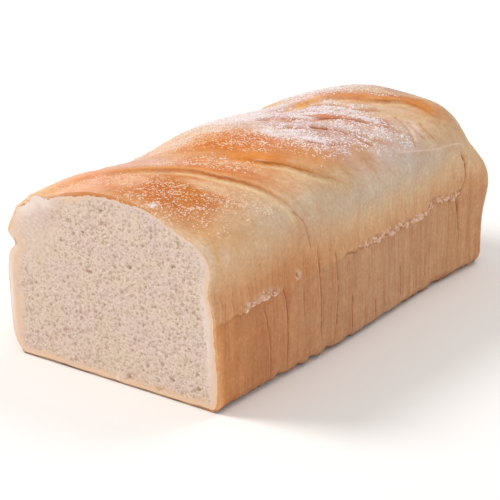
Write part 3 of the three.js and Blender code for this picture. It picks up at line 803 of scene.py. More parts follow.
def patch(mark, station, at, where, width, length, turn, strength):
    """A soft patch of the dome, from 0 to its strength."""
    c, s = math.cos(math.radians(turn)), math.sin(math.radians(turn))
    across, along = mark - at, station - where
    u = (across * c + along * s) / width
    v = (along * c - across * s) / length
    return strength * np.exp(-((u * u + v * v) ** 1.5))


def ragged_place(mark, station, ragged, seed):
    """The place shifted a little, so that patches get uneven edges."""
    out = []
    for number, place in enumerate((mark, station)):
        shift = wobble(mark, station, 9, seed + number) + 0.5 * wobble(mark, station, 3.5, seed + 10 + number)
        out.append(place + ragged * shift)
    return out


def nearest_line(lines, a, b, reach=4.0):
    """Gap to the nearest of some lines, and how strong that line is there.

    Each line is a route and a strength for each share of it. The gap has a sign, so that the thin line
    between two points of the mesh stays sharp."""
    gap = np.full(a.shape, reach)
    strong = np.zeros(a.shape)
    for points, strength in lines:
        offset, share = Route(points).nearest(a, b)
        nearer = np.abs(offset) < np.abs(gap)
        gap = np.where(nearer, offset, gap)
        strong = np.where(nearer, strength(share, a), strong)
    return gap, strong * (1 - ease(0.6 * reach, 0.95 * reach, np.abs(gap)))


def faded(strength, head=0.12, tail=0.15):
    return lambda share, a: strength * end_fade(share, head, tail)


def by_mark(keys):
    return lambda share, a: shares(a, keys)


class Skin:
    """Where each point of the crust lies, the colour it has so far, and the places that paint keeps to."""

    def __init__(self, mark, station, height, x, rear, cut_edge):
        self.mark, self.station, self.height, self.x = mark, station, height, x
        self.rear, self.cut_edge = rear, cut_edge
        self.left = mark < 0
        self.sides = ~rear
        self.right_wall = ~self.left & ~rear
        right, left = mark > 0.8 * SPANS[1]["dome"], mark < -0.8 * SPANS[-1]["dome"]
        self.walls = (right | left).astype(float)
        self.dome = (1 - ease(60, 80, mark)) * ease(-92, -70, mark) * ~rear
        seam = np.where(self.left, left_seam_offset(station, height), right_seam_offset(station, height))
        self.seam = np.where(rear, rear_seam_offset(x, height), seam)
        self.paint = np.tile(colour(DOME_BEIGE)[:3], (len(mark), 1))

    def lay(self, tone, amount):
        """Lays a tone, or a colour for each point, over the paint."""
        new = np.array(colour(tone)[:3]) if isinstance(tone, str) else tone
        self.paint = self.paint + (new - self.paint) * np.clip(amount, 0, 1)[:, None]


def paint_dome(skin):
    mark, station = skin.mark, skin.station
    soft_mark, soft_station = ragged_place(mark, station, 2.6, 41)
    for code, *where in DOME_PATCHES:
        skin.lay(code, patch(soft_mark, soft_station, *where) * skin.dome)
    ridge, cover = crinkles(mark, station)
    skin.lay("valley of a crinkle", 0.75 * cover * np.clip(-ridge - 0.1, 0, 1) * skin.dome)
    far_left = ease(-34, -58, mark) * (1 - skin.rear)
    uneven = 0.6 + 0.4 * wobble(mark, station, 22, 43)
    skin.lay("far side", 0.7 * far_left * (1 - bell(station - 130, 30)) * uneven)


def paint_folds(skin):
    """A pale rim before each cleft, and a browned band behind it."""
    mark, station = skin.mark, skin.station
    uneven = 0.7 + 0.4 * wobble(mark, station, 3.0, 45) + 0.35 * wobble(mark, station, 1.4, 46)
    for fold in FOLDS:
        offset = Route(fold["route"]).nearest(mark, station)[0]
        skin.lay("rim of a fold", 0.85 * (bell(offset + 2.6, 1.7) * shares(mark, fold["rim"])) * skin.dome)
        baked = bell(offset - fold["band"], fold["band"]) * shares(mark, fold["baked"]) * uneven
        skin.lay(fold["tone"], baked * skin.dome)


def paint_walls(skin):
    """Tan above the seam, a pale smear on it near the cut, and the tin wall below it."""
    station, height, seam, walls = skin.station, skin.height, skin.seam, skin.walls
    above = np.maximum(seam - 3, 0)
    upper = bell(above, np.interp(station, *UPPER_REACH))
    upper = upper * np.where(skin.left, 0.8, keyed(station, UPPER_WALL))
    skin.lay("upper wall", walls * np.where(skin.rear, 0.8 * bell(above, 14), upper))
    smear = walls * bell(seam - 2, 2.2) * bell(station - 34, 10) * skin.right_wall
    skin.lay("smear", 0.55 * smear)
    stations = [key[0] for key in WALL_COLOURS]
    tin = np.array([colour(key[1])[:3] for key in WALL_COLOURS])
    tin = np.stack([np.interp(station, stations, tin[:, channel]) for channel in range(3)], 1)
    skin.lay(tin, walls * (1 - ease(-1.2, 1.0, seam)))
    skin.lay("cut corner", 0.8 * walls * (1 - ease(1, 5, station)) * ease(52, 40, height))
    skin.lay("foot", 0.75 * walls * (1 - ease(0.5, 3.2, height)))


def paint_rim(skin):
    """Paler crust along the rim of the cut: the right shoulder, the unbrowned edge and the left wall."""
    mark, station, sides = skin.mark, skin.station, skin.sides
    skin.lay("shoulder rim", 0.85 * bell(mark - 56, 12) * (1 - ease(1.5, 7, station)) * sides)
    skin.lay("soft rim", (1 - shares(mark, EDGE_BROWN)) * (1 - ease(0.1, 0.9, station)) * sides)
    skin.lay("left rim", 0.8 * bell(mark + 108, 26) * (1 - ease(0.5, 2.5, station)) * sides)


def paint_pit_and_underside(skin):
    mark, station, height = skin.mark, skin.station, skin.height
    pit = np.where(skin.right_wall, gap_to_pit(station, height), 99)
    broken = 0.6 + 0.8 * wobble(station, height, 1.1, 48)
    skin.lay("pit rim", 0.65 * bell(pit - 1.5, 0.9) * np.clip(broken, 0, 1))
    # Painted shade in the sunk pit, and in dark spots on its ring.
    dark_rim = bell(pit - 1.5, 0.8) * np.clip(0.3 - broken, 0, 1)
    skin.lay("pit", 0.9 * np.maximum(bell(pit, 0.8), dark_rim))
    # Darker along the bottom edge of the walls: the browner base, with painted contact shade at the floor.
    underside = skin.walls * (1 - ease(0.9, 2.3, height)) * (0.85 + 0.4 * wobble(mark, station, 2.6, 47))
    skin.lay("underside", underside * (0.75 + 0.25 * ease(0.3, 3, station)))


def flour_cover(skin, wrinkle_gap, wrinkle):
    """Flour lies in patches of the dome and on its ridges, and leaves the folds and wrinkles bare."""
    mark, station = skin.mark, skin.station
    soft_mark, soft_station = ragged_place(mark, station, 3.0, 51)
    flour = np.zeros(mark.shape)
    for where in FLOUR_PATCHES:
        flour = np.maximum(flour, patch(soft_mark, soft_station, *where))
    ridge, cover = crinkles(mark, station)
    flour = flour * (1 + 0.45 * ridge * cover)
    for where in BARE_STREAKS:
        flour = flour * (1 - patch(soft_mark, soft_station, *where))
    flour = flour * (1 - skin.walls) * skin.sides
    for fold in FOLDS:
        offset = Route(fold["route"]).nearest(mark, station)[0]
        flour = flour * (1 - 0.85 * bell(offset - 1.6, 2.8) * np.clip(1.3 * keyed(mark, fold["baked"]), 0, 1))
    flour = flour * (1 - 0.95 * wrinkle * bell(wrinkle_gap, 1.7))
    return np.clip(flour, 0, 1)


def torn_cover(skin):
    """How much torn dough shows along the seam of each wall."""
    torn = np.where(skin.left, keyed(skin.station, LEFT_TORN), keyed(skin.station, RIGHT_TORN))
    torn = np.where(skin.rear, keyed(skin.x, REAR_TORN), torn)
    uneven = 0.35 * wobble(skin.station + skin.x, 0, 2.2, 71)
    return np.clip(torn + uneven, 0, 1) * skin.walls * (torn > 0.03)


def crack_lines(skin, wrinkle_gap, wrinkle, on_dome):
    """Gap to the strongest of the wrinkles and creases, and its strength."""
    gaps = [(wrinkle_gap, wrinkle, on_dome)]
    for creases, darkest, a, side in (
            (RIGHT_CREASES, 1.0, skin.station, skin.right_wall),
            (LEFT_CREASES, 0.6, skin.station, skin.left & skin.sides),
            (REAR_CREASES, 0.6, skin.x, skin.rear)):
        lines = [(points, faded(darkest * min(1, 0.25 + 0.45 * depth))) for points, depth in creases]
        gaps.append((*nearest_line(lines, a, skin.height), side & (np.abs(skin.mark) > 50)))
    crack_gap, crack = np.full(skin.mark.shape, 4.0), np.zeros(skin.mark.shape)
    for gap, strong, where in gaps:
        nearer = where & (strong > crack)
        crack_gap, crack = np.where(nearer, gap, crack_gap), np.where(nearer, strong, crack)
    return crack_gap, crack


def wall_marks(skin):
    """How strong the streaks of the tin walls are, and the grooves above the seam."""
    station, seam = skin.station, skin.seam
    near_cut = ease(0.2, 2.5, station) * (1 - skin.cut_edge)
    streak = skin.walls * (1 - ease(14, 30, seam)) * ease(0.3, 3, skin.height) * (0.35 + 0.65 * near_cut)
    streak = streak * np.interp(station, *STREAKED) * (1 - 0.65 * ease(0, 5, seam))
    above = ease(-1, 1, seam) * (1 - ease(9, 16, seam))
    fluted = np.where(skin.right_wall, np.interp(station, *FLUTED), 0.6)
    return streak, skin.walls * above * fluted * near_cut


def crust_values(where):
    """Named values from 0 to 1, gaps in millimetres and the paint of each point of the crust."""
    skin = Skin(**where)
    mark, station = skin.mark, skin.station
    on_dome = (skin.height > 40) & skin.sides
    fold_gap, burnt = nearest_line([(fold["route"], by_mark(fold["burnt"])) for fold in FOLDS], mark, station)
    crests = [(fold["route"], by_mark(fold["crest"])) for fold in FOLDS] + [(REAR_RIDGE, faded(0.6))]
    crest_gap, crest = nearest_line(crests, mark, station)
    wrinkles = [(points, faded(dark)) for points, _, dark in WRINKLES]
    wrinkle_gap, wrinkle = nearest_line(wrinkles, mark, station)
    crack_gap, crack = crack_lines(skin, wrinkle_gap, wrinkle, on_dome)
    streak, flute = wall_marks(skin)
    values = {
        "flour": flour_cover(skin, wrinkle_gap, wrinkle), "torn": torn_cover(skin),
        "seam": np.clip(skin.seam, -8, 8),
        "shadow": np.where(skin.right_wall, keyed(station, SEAM_SHADOW), 0.5) * skin.walls,
        "fold_gap": fold_gap, "burnt": burnt * on_dome, "crest_gap": crest_gap, "crest": crest * on_dome,
        "crack_gap": crack_gap, "crack": crack, "streak": streak, "flute": flute,
        "flap": bell(mark - FLAP, 15) * (1 - ease(1, 4, station)) * skin.sides,
        "rear": ease(LENGTH - CORNER_RADIUS, LENGTH, station),
        "cut_edge": skin.cut_edge * keyed(mark, EDGE_BROWN), "mark": mark * MM, "station": station * MM,
        "stretch": (1 - skin.walls) * skin.sides,
    }
    for coat in (paint_dome, paint_folds, paint_walls, paint_rim, paint_pit_and_underside):
        coat(skin)
    return values, skin.paint


# ---- The crumb ----
# The valley round the smooth lobe at the cut's upper left, and the nick where its crust turns in: x, height
LOBE_VALLEY = [(-25, 85), (-23, 79), (-25, 73), (-31, 68), (-38, 64.5)]
LOBE_NICK = [(-53, 57.5), (-48, 55.5), (-42, 51.5)]
# Larger holes of the crumb: x, height, radius, depth
CRUMB_HOLES = [
    (0.7, 83.6, 1.1, 0.8), (8.5, 5.0, 1.6, 1.2), (25.6, 3.4, 1.5, 1.0), (33.2, 10.2, 1.2, 1.0),
    (47.5, 9.4, 1.3, 1.0),
    (-10.9, 71, 0.9, 0.7), (-24.3, 64.1, 1.0, 0.7), (-9, 52, 1.4, 0.9), (14, 60, 1.1, 0.8),
    (-2, 38, 0.9, 0.6),
    (27, 44, 1.0, 0.7), (38, 66, 1.1, 0.7), (-34, 30, 1.0, 0.7), (-18, 20, 0.9, 0.6), (44, 28, 0.9, 0.6),
]
# Width of the close, poreless rim of the crumb, and of the tan band inside the crust, by mark
CLOSE_RIM = [
    (-186, 2.5), (-140, 2.5), (-130, 4.0), (-118, 10.0), (-90, 9.0), (-76, 5.0), (-60, 7.0), (-40, 4.0),
    (-20, 3.0), (30, 3.2), (60, 4.0), (80, 4.6), (126, 6.0), (134, 3.0), (186, 2.5),
]
TAN_BAND = [
    (-186, 4.0), (-128, 5.0), (-122, 9.5), (-86, 9.0), (-76, 5.0), (-68, 5.0), (-62, 3.5), (-56, 1.0),
    (-44, 0.3), (-34, 1.2), (-25, 5.5), (-17, 3.0), (-8, 1.6), (40, 1.6), (66, 2.4), (90, 3.4), (118, 3.6),
    (126, 5.5), (134, 5.0), (186, 4.2),
]


def crumb_valley(x, z):
    """How far the cut surface dips where the dough of the lobe meets the rest."""
    offset, share = Route(LOBE_VALLEY).nearest(x, z)
    dip = 0.5 * bell(offset, 3.6) * end_fade(share, 0.1, 0.3)
    offset, share = Route(LOBE_NICK).nearest(x, z)
    return dip + 0.6 * bell(offset, 1.6) * end_fade(share, 0.05, 0.3)


def crumb_holes(x, z, part):
    """The larger holes: their depth in millimetres, or 1 where they are."""
    x = x + 0.5 * wobble(x, z, 1.6, 97)
    out = np.zeros(x.shape)
    for at, height, radius, depth in CRUMB_HOLES:
        hole = 1 - ease(0.55 * radius, 1.15 * radius, np.hypot(x - at, 1.2 * (z - height)))
        out = np.maximum(out, hole * (depth if part == "depth" else 1))
    return out


def crumb_values(points, gap, beside):
    """Named values of the crumb, by the gap to the crust and the mark of the crust beside it."""
    x, z = points[:, 0], points[:, 2]
    uneven = 1 + 0.35 * wobble(x, z, 6, 91)
    band = keyed(beside, TAN_BAND) * uneven
    rim = keyed(beside, CLOSE_RIM) * uneven
    close = 1 - ease(0.35 * rim, 1.1 * rim, gap)
    calm = ease(16, 32, np.hypot(x + 50, z - 72))
    pale = np.max([
        0.9 * bell(beside + 53, 12) * (1 - ease(1.0, 7.0, gap)),
        0.55 * bell(beside - 92, 24) * bell(gap - 3.9, 1.7),
        0.9 * bell(beside + 104, 26) * (1 - ease(1.2, 3.6, gap)),
        bell(beside + 44, 17) * (1 - ease(0.3, 2.4, gap)),
        0.8 * bell(beside + 42, 8) * (1 - ease(2, 7, gap))], 0)
    inner = gap > 0.4
    # holes marks where the larger holes get painted shade.
    # valley says how strong the painted shade is along the dip round the lobe.
    return {"open": np.where(inner, (1 - close) * (0.3 + 0.7 * calm), 0),
            "tan": 1 - ease(0.1 * band, 1.1 * band, gap), "close": close, "pale": pale,
            "holes": crumb_holes(x, z, "cover") * inner, "valley": np.clip(crumb_valley(x, z), 0, 1)}


def crumb_outline(marks):
    """Evenly spaced points round the crumb, and their marks: the edge is ragged at the upper left."""
    ragged = bell(marks + 55, 17) * (wobble(marks, 0, 1.6, 81) + 0.7 * wobble(marks, 0, 3.4, 82))
    ring = cut_ring(marks, np.maximum(edge_width(marks) + 0.7 * ragged, 0.1), 0.0)
    steps = np.linalg.norm(np.roll(ring, -1, 0) - ring, axis=1)
    walked = np.concatenate([[0], np.cumsum(steps)])
    places = np.linspace(0, walked[-1], round(walked[-1] / CRUMB_SPACING), endpoint=False)
    closed = np.vstack([ring, ring[:1]])
    front = np.stack([np.interp(places, walked, closed[:, axis]) for axis in range(3)], 1)
    return front, np.interp(places, walked, np.append(marks, marks[0]))


def make_crumb(material):
    """A slab that shows on the cut face, out to just inside the crust's outer edge."""
    front, front_marks = crumb_outline(ring_marks())
    count = len(front)
    outline = front[:, [0, 2]]
    triangles, inner = fill_outline(outline, CRUMB_SPACING, 2)
    x, z = inner[:, 0], inner[:, 1]
    cut_face = np.stack([x, -CUT_LEAN * z + (crumb_valley(x, z) + crumb_holes(x, z, "depth")), z], 1)
    back = front + np.array([0, CRUMB_DEPTH, 0])
    points = np.vstack([front, cut_face, back])
    face_count = count + len(inner)
    faces = triangles.tolist()
    faces += strip_faces(face_count, 0, count).tolist()
    faces += (fill_outline(outline)[0][:, ::-1] + face_count).tolist()

    gap, nearest = gap_to(outline, np.vstack([outline, inner]))
    gap = np.concatenate([gap, np.zeros(count)])
    beside = np.concatenate([front_marks[nearest], front_marks])
    return make_mesh("crumb_form", points, faces, crumb_values(points, gap, beside), material)


# ---- Node trees ----
class Flow:
    """A value, place or colour that flows through a node tree. Arithmetic on it adds the nodes that do it."""

    def __init__(self, tree, socket):
        self.tree, self.socket = tree, socket

    def __add__(self, other):
        return joined("ADD", self, other)

    def __sub__(self, other):
        return joined("SUBTRACT", self, other)

    def __rsub__(self, other):
        return joined("SUBTRACT", other, self)

    def __mul__(self, other):
        return joined("MULTIPLY", self, other)

    def scaled(self, size):
        return put(self.tree, "ShaderNodeVectorMath", {0: self, "Scale": size}, operation="SCALE")

    def other(self, output):
        """Another output of the same node."""
        return Flow(self.tree, self.socket.node.outputs[output])

    def noise(self, scale, detail=2.0, roughness=0.5, output=0):
        inputs = {"Vector": self, "Scale": scale, "Detail": detail, "Roughness": roughness}
        return put(self.tree, "ShaderNodeTexNoise", inputs, output)

    def bent(self, scale, amount):
        """The place pushed about by noise."""
        return self + (self.noise(scale, output="Color") - (0.5, 0.5, 0.5)).scaled(amount)

    def turned(self, angle):
        """The place turned about the upright axis."""
        inputs = {"Vector": self, "Angle": angle}
        return put(self.tree, "ShaderNodeVectorRotate", inputs, rotation_type="Z_AXIS")

    def cells(self, scale, flat="2D"):
        """Round cells: the distance from the nearest middle. Each cell's own colour is another output."""
        inputs = {"Vector": self, "Scale": scale}
        return put(self.tree, "ShaderNodeTexVoronoi", inputs, voronoi_dimensions=flat)

    def remap(self, low, high, new_low=0.0, new_high=1.0, smooth=True):
        steps = {"Value": self, "From Min": low, "From Max": high, "To Min": new_low, "To Max": new_high}
        kind = "SMOOTHSTEP" if smooth else "LINEAR"
        return put(self.tree, "ShaderNodeMapRange", steps, interpolation_type=kind)


def put(tree, kind, inputs=(), output=0, **settings):
    """Adds a node with its settings and inputs, which are flows or plain values, and returns an output."""
    node = tree.nodes.new(kind)
    for key, value in settings.items():
        setattr(node, key, value)
    for key, value in dict(inputs).items():
        if isinstance(value, Flow):
            tree.links.new(value.socket, node.inputs[key])
        else:
            node.inputs[key].default_value = value
    return Flow(tree, node.outputs[output]) if node.outputs else None


def joined(operation, a, b, **settings):
    """One step of arithmetic on a flow and another flow, number or (x, y, z)."""
    flows = [item for item in (a, b) if isinstance(item, Flow)]
    kind = "ShaderNodeVectorMath" if flows[0].socket.type in ("VECTOR", "RGBA") else "ShaderNodeMath"
    return put(flows[0].tree, kind, {0: a, 1: b}, operation=operation, **settings)


def share_of(mask, amount):
    """The product of a mask and an amount, kept between 0 and 1."""
    return joined("MULTIPLY", mask, amount, use_clamp=True)


def mix(factor, a, b, blend="MIX"):
    tree = factor.tree
    return put(tree, "ShaderNodeMix", {0: factor, 6: a, 7: b}, 2, data_type="RGBA", blend_type=blend)


def between(factor, first, second):
    """A mix of two tones."""
    return mix(factor, colour(first), colour(second))


def tinted(paint, mask, amount, tone, blend="MIX"):
    return mix(share_of(mask, amount), paint, colour(tone), blend)


LIGHTER = (1.22, 1.25, 1.3, 1.0)


def lightened(paint, mask, amount):
    return mix(share_of(mask, amount), paint, LIGHTER, "MULTIPLY")


def combined(**axes):
    tree = next(iter(axes.values())).tree
    return put(tree, "ShaderNodeCombineXYZ", axes)


def axis_of(place, name):
    return put(place.tree, "ShaderNodeSeparateXYZ", {0: place}, name)


# The kind of a group's socket, by the kind of its default value
SOCKET_KINDS = {float: "NodeSocketFloat", int: "NodeSocketInt", tuple: "NodeSocketVector",
                type(None): "NodeSocketGeometry"}


def open_group(kind, name, inputs):
    """A group with named inputs, each with its default value, and the flows that come from them."""
    group = bpy.data.node_groups.new(name, kind)
    for label, default in inputs.items():
        socket = group.interface.new_socket(label, in_out="INPUT", socket_type=SOCKET_KINDS[type(default)])
        if default is not None:
            socket.default_value = default
    start = group.nodes.new("NodeGroupInput")
    return group, {label: Flow(group, start.outputs[label]) for label in inputs}


def close_group(group, kind, outputs):
    for label in outputs:
        group.interface.new_socket(label, in_out="OUTPUT", socket_type=kind)
    put(group, "NodeGroupOutput", outputs)
    return group


def use_group(group, inputs):
    tree = next(value for value in inputs.values() if isinstance(value, Flow)).tree
    return put(tree, "ShaderNodeGroup", inputs, node_tree=group)


# ---- Patterns that both the materials and the relief use ----
UPRIGHT_ON_SIDES = (0.3, 1.0, 0.045)
UPRIGHT_ON_REAR = (1.0, 0.3, 0.045)
ALONG_FOLDS = (0.22, 1.0, 1.0)
FOLD_SLANT = -0.55
WIDE_STREAKS = 300.0
STRETCH_SCALE = 330.0
# Sizes of the crumb's pores: scale, smallest radius, spread of the radius, depth
PORE_SIZES = [(360.0, 0.03, 0.33, 1.0), (700.0, 0.08, 0.3, 0.8)]


def streak_noise(place, scale, rear, detail=2.0):
    """Noise drawn out upright on the walls: it runs along the sides and across the rear."""
    sides = (place * UPRIGHT_ON_SIDES).noise(scale, detail)
    ends = (place * UPRIGHT_ON_REAR).noise(scale, detail)
    return sides + (ends - sides) * rear


def upright_grooves(place, rear):
    """Thin upright lines at uneven distances, from 0 to 1: the course of one level through a streak noise."""
    level = joined("ABSOLUTE", streak_noise(place, 260.0, rear, 1.0) - 0.5, 0.0)
    return level.remap(0.028, 0.006)


def stretch_noise(place):
    """Noise drawn out along the slant of the folds, as the skin of the dough stretched."""
    return (place.turned(FOLD_SLANT) * ALONG_FOLDS).noise(STRETCH_SCALE, 3.0, 0.6)


def torn_lumps(place):
    """Uneven lumps of torn dough, from 0 between them to 1 on top."""
    return place.bent(600.0, 0.0016).cells(330.0, "3D").remap(0.66, 0.2)


def pore_field(place, separator):
    """Pores of the cut crumb, from 0 between them to 1 in the deepest: round cells of two sizes."""
    axes = axis_of(place, "X")
    flat = combined(X=axes, Y=axes.other("Z"))
    bent = flat.bent(700.0, 0.0018)
    crowd = (flat.noise(90.0) - 0.5) * 0.35
    deepest = 0.0
    for scale, least, spread, full in PORE_SIZES:
        cells = bent.cells(scale)
        chance = put(place.tree, separator, {"Color": cells.other("Color")})
        radius = chance * spread + least + crowd
        pit = (cells - radius).remap(0.16, -0.16)
        strength = chance.other(1) * (0.6 * full) + 0.4 * full
        deepest = joined("MAXIMUM", deepest, pit * strength)
    return deepest


# ---- Shader groups ----
def make_mottle_group():
    """Unevenness: shifts a value by noise of one size."""
    group, source = open_group("ShaderNodeTree", "mottle", {
        "Value": 0.0, "Vector": (0.0, 0.0, 0.0), "Scale": 100.0, "Amount": 0.2})
    shift = (source["Vector"].noise(source["Scale"], 3.0, 0.6) - 0.5) * source["Amount"]
    result = joined("ADD", source["Value"], shift, use_clamp=True)
    return close_group(group, "NodeSocketFloat", {"Value": result})


def make_line_group():
    """A thin line where a gap in millimetres is near 0, whose width and course waver."""
    group, source = open_group("ShaderNodeTree", "drawn_line", {
        "Gap": 0.0, "Strength": 1.0, "Vector": (0.0, 0.0, 0.0), "Width": 1.0, "Offset": 0.0})
    place = source["Vector"]
    course = (place.noise(420.0) - 0.5) * 1.1
    gap = joined("ABSOLUTE", source["Gap"] - source["Offset"] + course, 0.0)
    width = source["Width"] * place.noise(190.0).remap(0.3, 0.7, 0.55, 1.35, smooth=False)
    line = gap.remap(width * 0.2, width, 1.0, 0.0)
    return close_group(group, "NodeSocketFloat", {"Line": share_of(line, source["Strength"])})


# Sizes of flour specks: share of the scale, and the cover at which that size is everywhere
SPECK_SIZES = [(1.0, 0.94), (0.62, 1.08), (0.33, 1.5)]


def make_dusting_group():
    """Flour dust: round specks and a broken film, which close up as the cover grows."""
    group, source = open_group("ShaderNodeTree", "flour_dusting", {
        "Cover": 0.0, "Vector": (0.0, 0.0, 0.0), "Speck Scale": 700.0, "Film": 0.5})
    place = source["Vector"]
    drift = (place.turned(-0.8) * (0.25, 1.0, 1.0)).noise(230.0, 3.0, 0.6)
    cover = source["Cover"] * drift.remap(0.34, 0.62, 0.2, 1.3, smooth=False)
    bent = place.bent(900.0, 0.0009)
    specks = 0.0
    for share, rarity in SPECK_SIZES:
        cells = bent.cells(source["Speck Scale"] * share)
        chance = put(group, "ShaderNodeSeparateColor", {"Color": cells.other("Color")})
        present = (chance + cover).remap(rarity - 0.05, rarity + 0.05)
        dot = (cells - (chance.other(1) * 0.26 + 0.18)).remap(0.08, -0.08)
        specks = joined("MAXIMUM", specks, dot * present)
    film = (place.noise(520.0, 3.0, 0.7) + cover * 0.6).remap(0.86, 1.1) * source["Film"]
    gate = source["Cover"].remap(0.03, 0.2)
    dust = share_of(joined("MAXIMUM", specks, film), gate)
    return close_group(group, "NodeSocketFloat", {"Dust": dust, "Height": (specks + film) * gate})


def make_grain_group():
    """Height of a fine baked grain, for a Bump node."""
    group, source = open_group("ShaderNodeTree", "fine_grain", {
        "Vector": (0.0, 0.0, 0.0), "Scale": 700.0, "Coarse": 0.5})
    fine = source["Vector"].noise(source["Scale"], 3.0, 0.6)
    coarse = source["Vector"].noise(joined("DIVIDE", source["Scale"], 5.0))
    return close_group(group, "NodeSocketFloat", {"Height": fine + coarse * source["Coarse"]})


# ---- Materials ----
def new_material(name):
    material = bpy.data.materials.new(name)
    material.use_nodes = True
    material.node_tree.nodes.clear()
    return material, material.node_tree


def place_on_piece(tree):
    return put(tree, "ShaderNodeTexCoord", output="Object")


def shade(material, inputs, height=None, strength=0.5):
    """Gives the material its shader, whose inputs are flows or plain values, and the bumps of a height."""
    tree = material.node_tree
    if height is not None:
        bumps = {"Height": height, "Distance": 0.0004, "Strength": strength}
        inputs["Normal"] = put(tree, "ShaderNodeBump", bumps)
    shader = put(tree, "ShaderNodeBsdfPrincipled", inputs)
    put(tree, "ShaderNodeOutputMaterial", {"Surface": shader})
    return material


def attribute(tree, name, output="Fac"):
    return put(tree, "ShaderNodeAttribute", {}, output, attribute_name=name, attribute_type="GEOMETRY")


def drawn(groups, place, gap, strength, width, offset=0.0):
    """A line along the named gap, as strong as the named strength."""
    gap, strength = attribute(place.tree, gap), attribute(place.tree, strength)
    return use_group(groups["line"], {
        "Gap": gap, "Strength": strength, "Vector": place, "Width": width, "Offset": offset})


def add_mottle(paint, place, stretch, stretched):
    """Unevenness of the baked skin, and its marks of stretching on the dome."""
    cloudy = place.noise(120.0, 3.0, 0.6)
    fine = place.noise(600.0, 2.0, 0.6)
    paint = tinted(paint, cloudy.remap(0.5, 0.75), 0.35, "cloud", "MULTIPLY")
    paint = lightened(paint, cloudy.remap(0.5, 0.3), 0.4)
    paint = tinted(paint, fine.remap(0.5, 0.75), 0.35, "fleck", "MULTIPLY")
    paint = lightened(paint, fine.remap(0.5, 0.28), 0.45)
    paint = tinted(paint, stretch.remap(0.5, 0.7) * stretched, 0.22, "stretch", "MULTIPLY")
    return lightened(paint, stretch.remap(0.5, 0.32) * stretched, 0.3)


def add_streaks(paint, place, rear, thin, streak, flute):
    """Upright streaks of the tin walls, and thin grooves above the seam."""
    wide = streak_noise(place, WIDE_STREAKS, rear)
    paint = lightened(paint, thin.remap(0.46, 0.34) * streak, 0.22)
    paint = tinted(paint, thin.remap(0.54, 0.68) * streak, 0.4, "thin streak", "MULTIPLY")
    paint = lightened(paint, wide.remap(0.47, 0.36) * streak, 0.2)
    paint = tinted(paint, wide.remap(0.53, 0.66) * streak, 0.3, "wide streak", "MULTIPLY")
    paint = lightened(paint, wide.remap(0.46, 0.36) * flute, 0.25)
    # Painted shade in the thin upright grooves, which the relief also sinks.
    return tinted(paint, upright_grooves(place, rear) * flute, 0.35, "groove", "MULTIPLY")


def add_lines(paint, groups, place, stretched, crack):
    """Burnt lines in the clefts of the folds, pale lines on their crests, and the cracks of the skin."""
    paint = tinted(paint, drawn(groups, place, "fold_gap", "burnt", 1.3, 0.6), 0.75, "baked cleft")
    deep = joined("POWER", drawn(groups, place, "fold_gap", "burnt", 0.6, 0.1), 1.2)
    paint = tinted(paint, deep, 0.85, "burnt cleft")
    paint = tinted(paint, drawn(groups, place, "crest_gap", "crest", 1.0, 0.8), 0.7, "crest")
    paint = tinted(paint, drawn(groups, place, "crack_gap", "crack", 2.4) * stretched, 0.6, "beside a crack")
    # Cracks: a painted highlight on their lit side, and a dark line, partly bare skin, partly painted shade.
    paint = tinted(paint, drawn(groups, place, "crack_gap", "crack", 1.0, -1.5), 0.3, "lit side of a crack")
    return tinted(paint, crack, 0.85, "crack")


def add_torn_dough(paint, groups, place, seam, torn):
    """Pale torn dough above the seam, and the dark line under it."""
    under = use_group(groups["line"], {"Gap": seam, "Strength": attribute(place.tree, "shadow"),
                                       "Vector": place, "Width": 1.1, "Offset": -0.9})
    paint = tinted(paint, under, 0.6, "seam shadow")
    return mix(torn * 0.9, paint, between(torn_lumps(place), "torn hollow", "torn lump"))


def add_edges(paint, place):
    """The brown edge of the cut crust, and the golden flap at its upper left."""
    paint = tinted(paint, attribute(place.tree, "cut_edge"), 1.0, "cut edge")
    golden = between(place.noise(330.0, 3.0, 0.6).remap(0.42, 0.6), "pale flap", "golden flap")
    return mix(attribute(place.tree, "flap") * 0.65, paint, golden)


def add_flour(paint, dust, tree):
    """Flour on the crust: soaked and warm in front, dry and white on the rear dome."""
    far = attribute(tree, "station").remap(0.085, 0.112)
    far = joined("MAXIMUM", far, attribute(tree, "flour").remap(0.65, 0.9))
    return mix(dust * far.remap(0.0, 1.0, 0.65, 0.92), paint, between(far, "soaked dust", "dry dust"))


def make_crust_material(groups):
    material, tree = new_material("baked_crust")
    place = place_on_piece(tree)
    rear, stretched = attribute(tree, "rear"), attribute(tree, "stretch")
    streak, flute = attribute(tree, "streak"), attribute(tree, "flute")
    stretch = stretch_noise(place)
    thin = streak_noise(place, 1000.0, rear)
    crack = drawn(groups, place, "crack_gap", "crack", 0.85)
    seam = attribute(tree, "seam")
    torn = seam + (thin - 0.5) * 5.0
    torn = share_of(torn.remap(-1.5, -0.4) * torn.remap(4.2, 2.2), attribute(tree, "torn"))
    skin = combined(X=attribute(tree, "mark"), Y=attribute(tree, "station"))
    dust = use_group(groups["dusting"], {
        "Cover": attribute(tree, "flour"), "Vector": skin, "Speck Scale": 880.0, "Film": 0.85})

    paint = add_mottle(attribute(tree, "paint", "Color"), place, stretch, stretched)
    paint = add_streaks(paint, place, rear, thin, streak, flute)
    paint = add_lines(paint, groups, place, stretched, crack)
    paint = add_torn_dough(paint, groups, place, seam, torn)
    paint = add_edges(paint, place)
    paint = add_flour(paint, dust, tree)

    height = use_group(groups["grain"], {"Vector": place, "Scale": 900.0, "Coarse": 1.0})
    for mask, amount in ((dust.other("Height"), 1.0), (crack, -1.2), (torn, 0.8),
                         (thin * streak, -1.2), (stretch * stretched, 1.2)):
        height = height + mask * amount
    return shade(material, {"Base Color": paint, "Roughness": dust.remap(0.0, 1.0, 0.58, 0.9),
                            "Specular IOR Level": 0.18}, height)


